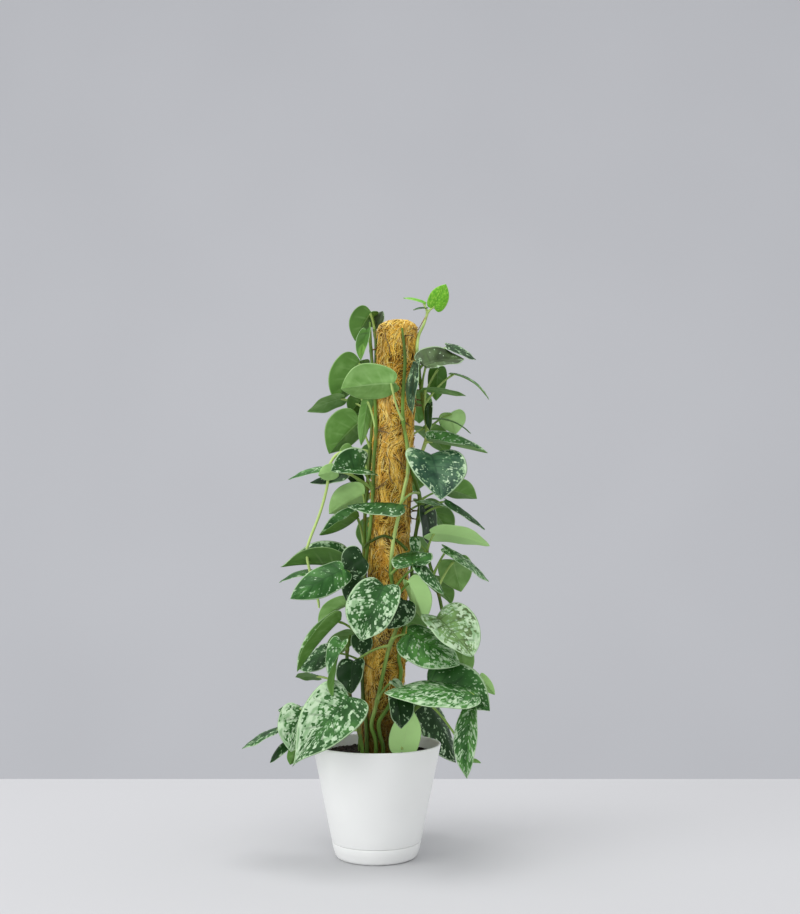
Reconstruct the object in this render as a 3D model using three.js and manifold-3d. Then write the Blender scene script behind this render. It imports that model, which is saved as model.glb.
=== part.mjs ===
// A satin pothos that climbs a coir pole, in a white pot on its own saucer. Millimetres, +Z up.
// The origin is the middle of the saucer's flat bottom, and the viewer of the photograph stands at -Y.
import * as THREE from "three";
import { mergeVertices } from "three/addons/utils/BufferGeometryUtils.js";
import Module from "manifold-3d";

const wasm = await Module();
wasm.setup();

const DEGREE = Math.PI / 180;
const TURN = 2 * Math.PI;

// Pot and saucer: a six-inch pot is the size that everything else is measured against.
const RIM_RADIUS = 76;
const RIM_HEIGHT = 130;
const SEAM_HEIGHT = 18.2;
const SEAM_RADIUS = 52.3;
const WALL = 2.2;
const RIM_LIP = 3.2;
const FOOT_GAP = 1;
const SEAT_GAP = 0.3;
const SAUCER_FLOOR = 2.4;
const SAUCER_ROUND = 5;
const POT_FLOOR = 2.6;
const DRAIN_RADIUS = 4;
const DRAIN_CIRCLE = 30;
const DRAIN_COUNT = 6;
const POT_SIDES = 36;

// Soil: filled to a finger's breadth under the rim.
const SOIL_DEPTH_UNDER_RIM = 13;
const SOIL_ROUGHNESS = 1.3;
const HOLE_GAP = 0.8;

// Coir pole: two inches thick, leaning a little to the right.
const POLE_RADIUS = 25;
const POLE_TOP = 637;
const POLE_LEAN = 2.27 * DEGREE;
const COIR_BOTTOM = 34;
const COIR_RELIEF = 1.6;
const CORE_RADIUS = 12;
const CORE_BOTTOM = 12;
const CORE_TOP = 612;
const COIR_SIDES = 20;
const COIR_ROWS = 16;

// Plant: leathery blades on round stalks.
const BLADE_THICKNESS = 1;
const STEM_RADIUS = 2.4;
const SHOOT_RADIUS = 1.9;
const STALK_RADIUS = 1.6;
const STEM_CLEAR = POLE_RADIUS + STEM_RADIUS + 0.8;
const ROOT_DEPTH = 30;
const STEM_SIDES = 5;
const STALK_SIDES = 3;
const STALK_STEPS = 2;

const COLOURS = {
  moulded: 0xe4e6e4,
  soil: 0x2a1d14,
  coir: 0xb8862e,
  wood: 0xb59a6c,
  vine: 0x3f6f45,
};

// Where the photograph was taken from: a 45 mm lens on a 36 mm sensor, held level with the middle of
// the plant and tilted up a little. Stems and leaves are placed by the spot where they show in that
// picture, as a column and a row, and by how far they stand toward the viewer from the pot's axis.
const VIEW = {
  lensInPixels: 1142.5,
  middleColumn: 400,
  middleRow: 457,
  tilt: 5.06 * DEGREE,
  eye: new THREE.Vector3(27.5, -1377, 347.7),
};

function seenAt([column, row], toward) {
  const right = (column - VIEW.middleColumn) / VIEW.lensInPixels;
  const up = (VIEW.middleRow - row) / VIEW.lensInPixels;
  const ray = new THREE.Vector3(
    right,
    Math.cos(VIEW.tilt) - up * Math.sin(VIEW.tilt),
    Math.sin(VIEW.tilt) + up * Math.cos(VIEW.tilt),
  );
  const reach = (-toward - VIEW.eye.y) / ray.y;
  return VIEW.eye.clone().addScaledVector(ray, reach);
}

function rowOf(point) {
  const away = point.clone().sub(VIEW.eye);
  const depth = away.y * Math.cos(VIEW.tilt) + away.z * Math.sin(VIEW.tilt);
  const up = away.z * Math.cos(VIEW.tilt) - away.y * Math.sin(VIEW.tilt);
  return VIEW.middleRow - (VIEW.lensInPixels * up) / depth;
}

function poleX(z) {
  return z * Math.tan(POLE_LEAN);
}

// The spot on the pole's surface, a stem's half thickness out, that shows at a column and row.
function onPole(spot) {
  let toward = STEM_CLEAR;
  for (let pass = 0; pass < 4; pass += 1) {
    const seen = seenAt(spot, toward);
    const aside = seen.x - poleX(seen.z);
    toward = Math.sqrt(Math.max(0, STEM_CLEAR ** 2 - aside ** 2));
  }
  return seenAt(spot, toward);
}

// A small repeatable random source, so that the back of the plant is the same on every run.
function makeRandom(seed) {
  let state = seed >>> 0;
  return () => {
    state = (Math.imul(state, 1664525) + 1013904223) >>> 0;
    return state / 4294967296;
  };
}

// Solids

const SHORTEST_EDGE = 0.01;

function solidOf(geometry) {
  const plain = geometry.index ? geometry.toNonIndexed() : geometry.clone();
  plain.deleteAttribute("normal");
  plain.deleteAttribute("uv");
  const merged = mergeVertices(plain, 1e-4);
  const corners = merged.index.array;
  const kept = [];
  for (let i = 0; i < corners.length; i += 3) {
    const [a, b, c] = [corners[i], corners[i + 1], corners[i + 2]];
    if (a !== b && b !== c && a !== c) kept.push(a, b, c);
  }
  return new wasm.Manifold(
    new wasm.Mesh({
      numProp: 3,
      vertProperties: new Float32Array(merged.attributes.position.array),
      triVerts: new Uint32Array(kept),
    }),
  );
}

function geometryOf(solid) {
  const mesh = solid.simplify(SHORTEST_EDGE).getMesh();
  const geometry = new THREE.BufferGeometry();
  geometry.setAttribute("position", new THREE.BufferAttribute(mesh.vertProperties, 3));
  geometry.setIndex(new THREE.BufferAttribute(mesh.triVerts, 1));
  const flat = geometry.toNonIndexed();
  flat.computeVertexNormals();
  return flat;
}

function fuse(solids) {
  return solids.reduce((whole, piece) => whole.add(piece));
}

function tube(curve, radius, sides, steps) {
  const section = new THREE.Shape();
  for (let i = 0; i < sides; i += 1) {
    const angle = (i * TURN) / sides;
    const [x, y] = [radius * Math.cos(angle), radius * Math.sin(angle)];
    if (i === 0) section.moveTo(x, y);
    else section.lineTo(x, y);
  }
  section.closePath();
  return solidOf(
    new THREE.ExtrudeGeometry(section, { steps, extrudePath: curve, bevelEnabled: false }),
  );
}

function turned(profile, sides) {
  const points = profile.map(([radius, height]) => new THREE.Vector2(radius, height));
  const geometry = new THREE.LatheGeometry(points, sides);
  geometry.rotateX(Math.PI / 2);
  return geometry;
}

// Pot, saucer and soil

function outerRadius(z) {
  const slope = (RIM_RADIUS - SEAM_RADIUS) / (RIM_HEIGHT - SEAM_HEIGHT);
  return SEAM_RADIUS + slope * (z - SEAM_HEIGHT);
}

// The pot's foot stands inside the saucer's sloping wall.
function footRadius(z) {
  return outerRadius(z) - WALL - FOOT_GAP;
}

const FOOT_BOTTOM = SAUCER_FLOOR + SEAT_GAP;
const POT_INSIDE_BOTTOM = FOOT_BOTTOM + POT_FLOOR;
const STEP_HEIGHT = SEAM_HEIGHT + SEAT_GAP;

function makeSaucer() {
  const base = outerRadius(0);
  const inside = (z) => outerRadius(z) - WALL;
  const rounded = [15, 45, 75].map((degrees) => {
    const angle = degrees * DEGREE;
    return [
      base - SAUCER_ROUND + SAUCER_ROUND * Math.sin(angle),
      SAUCER_ROUND - SAUCER_ROUND * Math.cos(angle),
    ];
  });
  const profile = [
    [0, 0],
    [base - SAUCER_ROUND, 0],
    ...rounded,
    [SEAM_RADIUS, SEAM_HEIGHT],
    [inside(SEAM_HEIGHT), SEAM_HEIGHT],
    [inside(SAUCER_FLOOR + 2), SAUCER_FLOOR + 2],
    [inside(SAUCER_FLOOR) - 2, SAUCER_FLOOR],
    [0, SAUCER_FLOOR],
  ];
  return turned(profile, POT_SIDES);
}

function makePot() {
  const profile = [
    [0, FOOT_BOTTOM],
    [footRadius(FOOT_BOTTOM) - 3, FOOT_BOTTOM],
    [footRadius(FOOT_BOTTOM + 3), FOOT_BOTTOM + 3],
    [footRadius(STEP_HEIGHT), STEP_HEIGHT],
    [outerRadius(STEP_HEIGHT) - 0.3, STEP_HEIGHT],
    [outerRadius(STEP_HEIGHT + 0.6), STEP_HEIGHT + 0.6],
    [RIM_RADIUS, RIM_HEIGHT - 1],
    [RIM_RADIUS - 0.8, RIM_HEIGHT],
    [RIM_RADIUS - RIM_LIP + 0.6, RIM_HEIGHT],
    [RIM_RADIUS - RIM_LIP, RIM_HEIGHT - 1],
    [outerRadius(RIM_HEIGHT - 8) - WALL, RIM_HEIGHT - 8],
    [outerRadius(STEP_HEIGHT + WALL) - WALL, STEP_HEIGHT + WALL],
    [footRadius(STEP_HEIGHT) - WALL, STEP_HEIGHT + WALL - 1],
    [footRadius(POT_INSIDE_BOTTOM) - WALL, POT_INSIDE_BOTTOM],
    [0, POT_INSIDE_BOTTOM],
  ];
  const body = solidOf(turned(profile, POT_SIDES));
  const drains = Array.from({ length: DRAIN_COUNT }, (_, i) => {
    const drill = new THREE.CylinderGeometry(DRAIN_RADIUS, DRAIN_RADIUS, 4 * POT_FLOOR, 12);
    const angle = (i * TURN) / DRAIN_COUNT;
    drill.rotateX(Math.PI / 2);
    drill.translate(
      DRAIN_CIRCLE * Math.cos(angle),
      DRAIN_CIRCLE * Math.sin(angle),
      FOOT_BOTTOM + POT_FLOOR / 2,
    );
    return solidOf(drill);
  });
  return geometryOf(drains.reduce((pot, drill) => pot.subtract(drill), body));
}

const SOIL_TOP = RIM_HEIGHT - SOIL_DEPTH_UNDER_RIM;

// Soil that fills the pot, with a crumbly top and plain holes where the pole and stems go in.
function makeSoil(standing) {
  const inner = (z) => outerRadius(z) - WALL - SEAT_GAP;
  const rings = [0.25, 0.5, 0.75].map((share) => share * inner(SOIL_TOP));
  const profile = [
    [0, POT_INSIDE_BOTTOM + SEAT_GAP],
    [footRadius(POT_INSIDE_BOTTOM) - WALL - SEAT_GAP, POT_INSIDE_BOTTOM + SEAT_GAP],
    [footRadius(STEP_HEIGHT) - WALL - SEAT_GAP, STEP_HEIGHT + WALL + 1],
    [inner(STEP_HEIGHT + WALL + 3), STEP_HEIGHT + WALL + 3],
    [inner(SOIL_TOP), SOIL_TOP],
    ...rings.reverse().map((radius) => [radius, SOIL_TOP]),
    [0, SOIL_TOP],
  ];
  const geometry = turned(profile, POT_SIDES / 2);
  const places = geometry.attributes.position;
  for (let i = 0; i < places.count; i += 1) {
    const [x, y, z] = [places.getX(i), places.getY(i), places.getZ(i)];
    if (z < SOIL_TOP - 0.5 || Math.hypot(x, y) > inner(SOIL_TOP) - 1) continue;
    places.setZ(i, z + SOIL_ROUGHNESS * Math.sin(0.31 * x + 1) * Math.cos(0.27 * y));
  }
  return geometryOf(standing.reduce((soil, piece) => soil.subtract(piece), solidOf(geometry)));
}

// Pole

function leaned(geometry) {
  const places = geometry.attributes.position;
  for (let i = 0; i < places.count; i += 1) {
    places.setX(i, places.getX(i) + poleX(places.getZ(i)));
  }
  return geometry;
}

function coirRelief(angle, z) {
  const coarse = Math.sin(5 * angle + 0.11 * z) * Math.sin(3 * angle - 0.07 * z + 1);
  const fine = Math.sin(11 * angle - 0.23 * z) * Math.cos(2 * angle + 0.31 * z);
  return COIR_RELIEF * (0.5 - 0.3 * coarse - 0.2 * fine);
}

// The fibre sleeve: lumpy outside, rounded over at the top, with a blind bore for the stake.
function makeCoir() {
  const dome = 13;
  const profile = [[CORE_RADIUS + SEAT_GAP, COIR_BOTTOM]];
  for (let i = 0; i <= COIR_ROWS; i += 1) {
    const share = i / COIR_ROWS;
    profile.push([POLE_RADIUS, COIR_BOTTOM + share * (POLE_TOP - dome - COIR_BOTTOM)]);
  }
  [30, 60].forEach((degrees) => {
    const angle = degrees * DEGREE;
    profile.push([
      POLE_RADIUS * Math.cos(angle) ** 0.7,
      POLE_TOP - dome + dome * Math.sin(angle),
    ]);
  });
  profile.push([0, POLE_TOP], [0, CORE_TOP + SEAT_GAP]);
  profile.push([CORE_RADIUS + SEAT_GAP, CORE_TOP + SEAT_GAP]);
  profile.push([CORE_RADIUS + SEAT_GAP, COIR_BOTTOM]);
  const geometry = turned(profile, COIR_SIDES);
  const places = geometry.attributes.position;
  for (let i = 0; i < places.count; i += 1) {
    const [x, y, z] = [places.getX(i), places.getY(i), places.getZ(i)];
    const radius = Math.hypot(x, y);
    if (radius < CORE_RADIUS + 2) continue;
    const scale = (radius - coirRelief(Math.atan2(y, x), z)) / radius;
    places.setXY(i, x * scale, y * scale);
  }
  return leaned(geometry);
}

function makeCore() {
  const profile = [
    [0, CORE_BOTTOM],
    [CORE_RADIUS - 2, CORE_BOTTOM],
    [CORE_RADIUS, CORE_BOTTOM + 3],
    [CORE_RADIUS, CORE_TOP],
    [0, CORE_TOP],
  ];
  return leaned(turned(profile, 20));
}

// One leaf blade

// How far the blade's edge lies along the midrib and out from it, for an angle that runs from the
// notch at the stalk (0) round a lobe to the tip (PI). Along and out are shares of length and half width.
function edgeAt({ belly, notch, taper }, angle) {
  const sine = Math.sin(angle);
  const cosine = Math.cos(angle);
  const outline = angle < Math.PI / 2 ? sine : sine ** taper;
  return {
    along: (1 - cosine) / 2 - notch * sine * ((1 + cosine) / 2) ** 2,
    out: (outline * (1 + belly * cosine)) / (1 + 0.45 * belly ** 2),
  };
}

// Where the side vein that ends at that angle leaves the midrib.
function ribAt(angle) {
  const start = 50 * DEGREE;
  return Math.max(0, (angle - start) / (Math.PI - start)) ** 1.15;
}

function bladeAxes({ joint, tip, facing, roll }) {
  const along = tip.clone().sub(joint).normalize();
  const face = facing.clone().addScaledVector(along, -facing.dot(along)).normalize();
  const left = face.clone().cross(along);
  const upper = left.z >= 0 ? 1 : -1;
  const normal = face
    .multiplyScalar(Math.cos(roll * DEGREE))
    .addScaledVector(left, upper * Math.sin(roll * DEGREE));
  return { along, normal, across: along.clone().cross(normal) };
}

// A point of the blade: `share` runs from the midrib (0) to the edge (1), `side` is -1 or 1, and
// `lift` is the height over the blade's middle layer.
function bladePoint(leaf, axes, angle, side, share, lift) {
  const length = leaf.joint.distanceTo(leaf.tip);
  const edge = edgeAt(leaf, angle);
  const along = ribAt(angle) * (1 - share) + edge.along * share;
  const out = (share * edge.out * leaf.wide) / 2;
  const bend = Math.max(1, Math.abs(leaf.bend)) * DEGREE * (leaf.bend < 0 ? -1 : 1);
  const bendRadius = length / (2 * Math.sin(bend / 2));
  const phase = bend * (along - 0.5);
  const twist = leaf.twist * DEGREE * (along - 0.3);
  const rib = leaf.joint
    .clone()
    .addScaledVector(axes.along, bendRadius * Math.sin(phase) + length / 2)
    .addScaledVector(axes.normal, bendRadius * (Math.cos(phase) - Math.cos(bend / 2)));
  const straightUp = axes.normal
    .clone()
    .multiplyScalar(Math.cos(phase))
    .addScaledVector(axes.along, Math.sin(phase));
  const up = straightUp
    .clone()
    .multiplyScalar(Math.cos(twist))
    .addScaledVector(axes.across, Math.sin(twist));
  const aside = axes.across
    .clone()
    .multiplyScalar(Math.cos(twist))
    .addScaledVector(straightUp, -Math.sin(twist));
  const fold = (share > 0 ? leaf.fold : 0) * DEGREE;
  const outward = aside
    .clone()
    .multiplyScalar(side * Math.cos(fold))
    .addScaledVector(up, Math.sin(fold));
  const surface = up
    .clone()
    .multiplyScalar(Math.cos(fold))
    .addScaledVector(aside, -side * Math.sin(fold));
  const droop = leaf.cup * share ** 2 * edge.out * (leaf.wide / 2);
  return rib.addScaledVector(outward, out).addScaledVector(surface, lift - droop);
}

const STALK_END = 60 * DEGREE;
const EDGE_ANGLES = [0, 28, 58, 88, 118, 148, 180].map((degrees) => degrees * DEGREE);

function blade(leaf) {
  const axes = bladeAxes(leaf);
  const half = BLADE_THICKNESS / 2;
  const corners = [];
  const face = (...points) => points.forEach((point) => corners.push(...point.toArray()));
  [-1, 1].forEach((side) => {
    const at = (index, share, lift) => {
      const angle = EDGE_ANGLES[index];
      return bladePoint(leaf, axes, angle, side, edgeAt(leaf, angle).out < 1e-9 ? 0 : share, lift);
    };
    for (let i = 0; i + 1 < EDGE_ANGLES.length; i += 1) {
      [half, -half].forEach((lift) => {
        const inner = at(i, 0, lift);
        const outer = at(i, 1, lift);
        const nextInner = at(i + 1, 0, lift);
        const nextOuter = at(i + 1, 1, lift);
        if (side * lift < 0) {
          face(inner, nextOuter, outer);
          face(inner, nextInner, nextOuter);
        } else {
          face(inner, outer, nextOuter);
          face(inner, nextOuter, nextInner);
        }
      });
      const rim = [at(i, 1, half), at(i, 1, -half), at(i + 1, 1, -half), at(i + 1, 1, half)];
      if (side > 0) {
        face(rim[0], rim[1], rim[2]);
        face(rim[0], rim[2], rim[3]);
      } else {
        face(rim[0], rim[2], rim[1]);
        face(rim[0], rim[3], rim[2]);
      }
    }
  });
  const geometry = new THREE.BufferGeometry();
  geometry.setAttribute("position", new THREE.Float32BufferAttribute(corners, 3));
  return solidOf(geometry);
}

// The round stalk from the stem to the midrib's foot on the blade's underside, arched upward.
function stalkCurve(leaf) {
  const end = bladePoint(leaf, bladeAxes(leaf), STALK_END, 1, 0, -0.4 * STALK_RADIUS);
  const middle = leaf.start.clone().lerp(end, 0.5);
  middle.z += leaf.arch * leaf.start.distanceTo(end);
  return new THREE.QuadraticBezierCurve3(leaf.start, middle, end);
}

// Stems: each is a list of spots in the picture. A spot with no third value lies on the pole.

function stemCurve(spots) {
  const points = spots.map(([column, row, toward]) =>
    toward === undefined ? onPole([column, row]) : seenAt([column, row], toward),
  );
  return new THREE.CatmullRomCurve3(points, false, "catmullrom", 0.5);
}

function rooted(spots) {
  const curve = stemCurve(spots);
  const above = curve.points[0];
  above.z = Math.max(above.z, SOIL_TOP + 14);
  curve.points.unshift(above.clone().setZ(SOIL_TOP - ROOT_DEPTH), above.clone().setZ(SOIL_TOP + 5));
  return curve;
}

function nearestOn(curve, miss) {
  let best = curve.getPoint(0);
  for (let i = 1; i <= 240; i += 1) {
    const point = curve.getPoint(i / 240);
    if (Math.abs(miss(point)) < Math.abs(miss(best))) best = point;
  }
  return best;
}

const LEAF_DEFAULTS = {
  roll: 0,
  fold: 14,
  bend: 22,
  twist: 0,
  cup: 0.1,
  arch: 0.16,
  belly: 0.15,
  notch: 0.3,
  taper: 2,
};

// A leaf placed by the picture: its stalk leaves the stem at picture row `node`, and the blade runs
// from `joint` to `tip`. `near` is how far these two stand toward the viewer. With no roll the upper
// face looks at the viewer, and a positive roll turns it to its upper side.
function photoLeaf(curve, { node, joint, tip, near, ...look }) {
  const start = nearestOn(curve, (point) => rowOf(point) - node);
  const jointPoint = seenAt(joint, near[0]);
  const tipPoint = seenAt(tip, near[1]);
  const middle = jointPoint.clone().lerp(tipPoint, 0.5);
  const facing = VIEW.eye.clone().sub(middle).normalize();
  return { ...LEAF_DEFAULTS, start, joint: jointPoint, tip: tipPoint, facing, ...look };
}

const FRONT_LEFT = {
  stem: [
    [367, 748], [366, 722], [363, 695], [362, 650], [363, 600], [365, 575], [367, 552], [370, 530],
    [373, 490], [374, 460], [376, 430], [374, 385], [371, 350], [370, 322],
  ],
  leaves: [
    { node: 350, joint: [367, 330], tip: [361, 361], near: [26, 34], roll: 40, wide: 20, fold: 25 },
    { node: 430, joint: [368, 399], tip: [361, 446], near: [16, 12], roll: 170, wide: 16, fold: 10 },
    {
      node: 490, joint: [363, 469], tip: [331, 471], near: [40, 68],
      roll: 38, wide: 50, fold: 38, notch: 0.6,
    },
    { node: 490, joint: [337, 471], tip: [318, 475], near: [54, 62], roll: 168, wide: 20 },
    { node: 580, joint: [363, 557], tip: [344, 571], near: [36, 14], roll: 10, wide: 40 },
    { node: 585, joint: [344, 569], tip: [290, 599], near: [46, 66], roll: 25, wide: 40, fold: -8 },
    { node: 590, joint: [360, 577], tip: [346, 601], near: [34, 26], roll: 20, wide: 32 },
    {
      node: 600, joint: [384, 586], tip: [361, 641], near: [66, 84],
      roll: 24, wide: 64, fold: 20, belly: 0,
    },
    {
      node: 612, joint: [349, 602], tip: [318, 623], near: [20, 2],
      roll: 139, wide: 27, fold: 41, belly: -0.1,
    },
    {
      node: 640, joint: [341, 619], tip: [297, 672], near: [44, 52],
      roll: 84, wide: 48, fold: 44, bend: 14,
    },
    { node: 662, joint: [332, 652], tip: [299, 669], near: [26, 18], roll: 56, wide: 46, fold: 2 },
    { node: 665, joint: [360, 635], tip: [364, 657], near: [26, 32], roll: 15, wide: 26 },
  ],
};
const LEFT = {
  stem: [
    [360, 748, -14], [363, 690, -14], [364, 600, -14], [364, 545, -11], [365, 515, -9], [371, 440, -12],
    [375, 380, -15], [376, 345, -15], [374, 326, -16], [372, 315, -9],
  ],
  shoot: [
    [372, 452, -14], [356, 450, -10], [338, 454, 0], [329, 467, 4], [327, 487, 6], [320, 513, 8],
    [309, 542, 10], [307, 556, 8], [312, 580, 4], [318, 600, 2], [319, 608, 2],
  ],
  leaves: [
    { node: 330, joint: [371, 312], tip: [355, 341], near: [-6, -20], roll: 150, wide: 38, fold: 30 },
    { node: 335, joint: [374, 327], tip: [383, 311], near: [-16, -22], roll: 20, wide: 16 },
    { node: 385, joint: [360, 361], tip: [336, 404], near: [-12, -30], roll: 150, wide: 52, fold: 30 },
    { node: 415, joint: [343, 398], tip: [307, 412], near: [-20, -18], roll: 114, wide: 44, fold: 0 },
    { node: 420, joint: [362, 398], tip: [350, 414], near: [-14, -18], roll: 160, wide: 28 },
    { node: 450, joint: [360, 421], tip: [329, 454], near: [-8, -30], roll: 150, wide: 58, fold: 30 },
    { node: 470, joint: [352, 447], tip: [341, 461], near: [-16, -20], roll: 160, wide: 20 },
    { node: 490, joint: [347, 471], tip: [310, 483], near: [-6, -12], roll: 67, wide: 34, fold: -11 },
    { node: 495, joint: [350, 473], tip: [365, 487], near: [-20, -24], roll: 30, wide: 20 },
    {
      node: 510, joint: [365, 493], tip: [329, 514], near: [-8, -26],
      roll: 150, wide: 42, fold: 30, belly: 0,
    },
    {
      node: 545, joint: [359, 516], tip: [319, 535], near: [-4, 2],
      roll: 73, wide: 46, fold: 49, bend: -45,
    },
    {
      node: 585, joint: [341, 567], tip: [280, 567], near: [0, -4],
      roll: 78, wide: 66, fold: 56, belly: 0.4, taper: 3,
    },
    {
      node: 590, joint: [312, 571], tip: [279, 583], near: [-8, -12],
      roll: 75, wide: 24, fold: 0, bend: 40,
    },
    {
      shoot: true, node: 467, joint: [325, 468], tip: [288, 480], near: [8, 12],
      roll: 74, wide: 24, fold: 4,
    },
  ],
};
const FRONT_RIGHT = {
  stem: [
    [376, 748], [375, 738], [371.5, 725], [375.5, 708], [380, 688], [386, 660], [390, 645], [397, 625],
    [396, 600], [391, 575], [393, 543], [400, 510], [404, 490], [408, 470], [407, 445], [403, 420],
    [403, 395], [405, 363], [404, 345], [402, 328],
  ],
  shoot: [
    [407, 550], [402, 545], [396, 540], [391, 538], [384, 536], [377, 538], [372, 541, 20],
    [368, 543, 20.5], [364, 548, 15],
  ],
  leaves: [
    {
      node: 420, joint: [394, 383], tip: [341, 389], near: [52, 42],
      roll: 154, wide: 52, fold: 26, belly: -0.25, arch: -0.25,
    },
    {
      node: 468, joint: [431, 455], tip: [441, 500], near: [24, 76],
      roll: 21, wide: 74, fold: 21, bend: 30,
    },
    { node: 575, joint: [413, 565], tip: [411, 551], near: [78, 32], roll: 0, wide: 48, fold: 4 },
    { node: 590, joint: [421, 562], tip: [444, 595], near: [66, 76], roll: 67, wide: 40, fold: -12 },
    { node: 600, joint: [408, 581], tip: [424, 622], near: [42, 44], roll: 131, wide: 42, fold: 25 },
    { node: 625, joint: [403, 600], tip: [388, 629], near: [36, 40], roll: 20, wide: 46 },
    { node: 640, joint: [407, 634], tip: [460, 665], near: [58, 66], roll: 41, wide: 62, fold: -8 },
    { node: 645, joint: [354, 661], tip: [351, 694], near: [47, 56], roll: 35, wide: 40, fold: 20 },
    { node: 700, joint: [392, 681], tip: [402, 690], near: [46, 50], roll: 60, wide: 20 },
  ],
};
const RIGHT = {
  stem: [
    [383, 748], [380, 735], [379, 722], [387, 709], [397, 690], [401, 672], [399, 655],
    [405, 625], [411, 600], [412, 570], [414, 545], [418, 520], [420, 500], [416, 483],
    [412.5, 470], [420, 457], [427, 436], [426, 420], [422, 395],
    [419, 370], [417, 350], [418.5, 336, 8], [424, 324, 8], [428, 311, 8],
  ],
  leaves: [
    { node: 312, joint: [434, 308], tip: [446, 284], near: [10, 14], roll: 0, wide: 24, fold: 5 },
    { node: 314, joint: [427, 308], tip: [413, 310], near: [8, 8], roll: 80, wide: 10, arch: 0 },
    { node: 312, joint: [425, 303], tip: [403, 298], near: [6, 6], roll: 60, wide: 7, arch: 0 },
    { node: 390, joint: [424, 366], tip: [464, 359], near: [34, 6], roll: 60, wide: 52, fold: 23 },
    { node: 370, joint: [447, 346], tip: [476, 360], near: [0, -10], roll: 72, wide: 30, fold: 5 },
    { node: 385, joint: [416, 363], tip: [413, 415], near: [53, 55], roll: 73, wide: 44, fold: 8 },
    { node: 400, joint: [438, 368], tip: [436, 401], near: [-6, -14], roll: 180, wide: 24 },
    { node: 410, joint: [423, 389], tip: [466, 396], near: [14, -2], roll: 106, wide: 30, fold: 0 },
    {
      node: 405, joint: [452, 373], tip: [489, 400], near: [-8, -14],
      roll: 98, wide: 16, fold: -8, bend: 62,
    },
    { node: 420, joint: [430, 404], tip: [430, 431], near: [22, 22], roll: 50, wide: 16 },
    { node: 430, joint: [451, 413], tip: [456, 434], near: [-20, -36], roll: 180, wide: 34 },
    { node: 435, joint: [427, 420], tip: [471, 434], near: [4, -6], roll: 90, wide: 14, bend: 60 },
    {
      node: 445, joint: [429, 441], tip: [488, 453], near: [18, 6],
      roll: 75, wide: 46, fold: 30, bend: 4,
    },
    { node: 494, joint: [403, 505], tip: [347, 506], near: [58, 50], roll: 74, wide: 52, fold: -12 },
    { node: 500, joint: [446, 489], tip: [477, 499], near: [4, -20], roll: 140, wide: 36, fold: 26 },
    { node: 510, joint: [447, 500], tip: [485, 530], near: [6, 0], roll: 80, wide: 36, fold: -7 },
    { node: 520, joint: [444, 506], tip: [416, 502], near: [24, 32], roll: 80, wide: 26, fold: 8 },
    { node: 540, joint: [424, 506], tip: [429, 546], near: [2, -12], roll: 64, wide: 46, fold: 10 },
  ],
};
const LOW_LEFT = {
  stem: [[362, 748, 50], [357, 722, 54], [350, 695, 48], [347, 655, 34], [350, 635, 26]],
  leaves: [
    {
      node: 650, joint: [342, 642], tip: [333, 698], near: [72, 84],
      roll: 60, wide: 32, fold: 35, twist: 100,
    },
    { node: 690, joint: [318, 676], tip: [295, 677], near: [40, 34], roll: 105, wide: 36, fold: 0 },
    {
      node: 705, joint: [349, 697], tip: [292, 767], near: [84, 104],
      roll: 25, wide: 70, fold: 14, belly: 0.5, taper: 3,
    },
    { node: 712, joint: [300, 714], tip: [278, 710], near: [62, 60], roll: 40, wide: 22 },
    { node: 715, joint: [300, 707], tip: [291, 752], near: [68, 76], roll: 10, wide: 44, fold: 0 },
    { node: 720, joint: [279, 729], tip: [242, 749], near: [48, 44], roll: 79, wide: 42, fold: 3 },
    {
      node: 725, joint: [289, 744], tip: [270, 763], near: [50, 42],
      roll: 50, wide: 16, fold: 0, bend: 40,
    },
    { node: 730, joint: [295, 749], tip: [290, 765], near: [66, 70], roll: 180, wide: 14 },
  ],
};
const LOW_RIGHT = {
  stem: [
    [398, 748, 36], [407, 718, 38], [428, 697, 34], [440, 670, 22], [446, 640, 14], [440, 600, 8],
    [430, 565, 6], [427, 549, 8],
  ],
  leaves: [
    { node: 550, joint: [431, 533], tip: [490, 546], near: [24, 8], roll: 116, wide: 50, fold: 8 },
    { node: 555, joint: [414, 538], tip: [415, 554], near: [14, 18], roll: 30, wide: 16 },
    { node: 575, joint: [445, 548], tip: [489, 582], near: [16, 6], roll: 75, wide: 40, fold: 0 },
    { node: 590, joint: [453, 560], tip: [461, 592], near: [0, -24], roll: 180, wide: 42 },
    {
      node: 625, joint: [437, 617], tip: [472, 657], near: [46, 84],
      roll: 33, wide: 66, fold: 32, taper: 1.3,
    },
    { node: 655, joint: [462, 648], tip: [465, 680], near: [36, 30], roll: 180, wide: 27 },
    {
      node: 680, joint: [428, 684], tip: [490, 711], near: [50, 74],
      roll: 37, wide: 70, fold: 37, belly: 0,
    },
    { node: 685, joint: [480, 676], tip: [495, 695], near: [38, 44], roll: 180, wide: 13 },
    {
      node: 690, joint: [479, 696], tip: [384, 693], near: [84, 98],
      roll: 66, wide: 72, fold: -2, belly: 0, notch: 0.1,
    },
    {
      node: 700, joint: [473, 702], tip: [467, 779], near: [84, 90],
      roll: 44, wide: 36, fold: 19, belly: -0.1, notch: 0.1,
    },
    { node: 700, joint: [425, 700], tip: [456, 763], near: [-62, -84], roll: 48, wide: 57, fold: -17 },
    { node: 712, joint: [396, 694], tip: [401, 729], near: [68, 72], roll: 40, wide: 38, fold: 22 },
    { node: 740, joint: [402, 752], tip: [411, 708], near: [48, 44], roll: 180, wide: 36 },
    { node: 700, joint: [470, 761], tip: [481, 763], near: [60, 60], roll: 120, wide: 10 },
  ],
};

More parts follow.
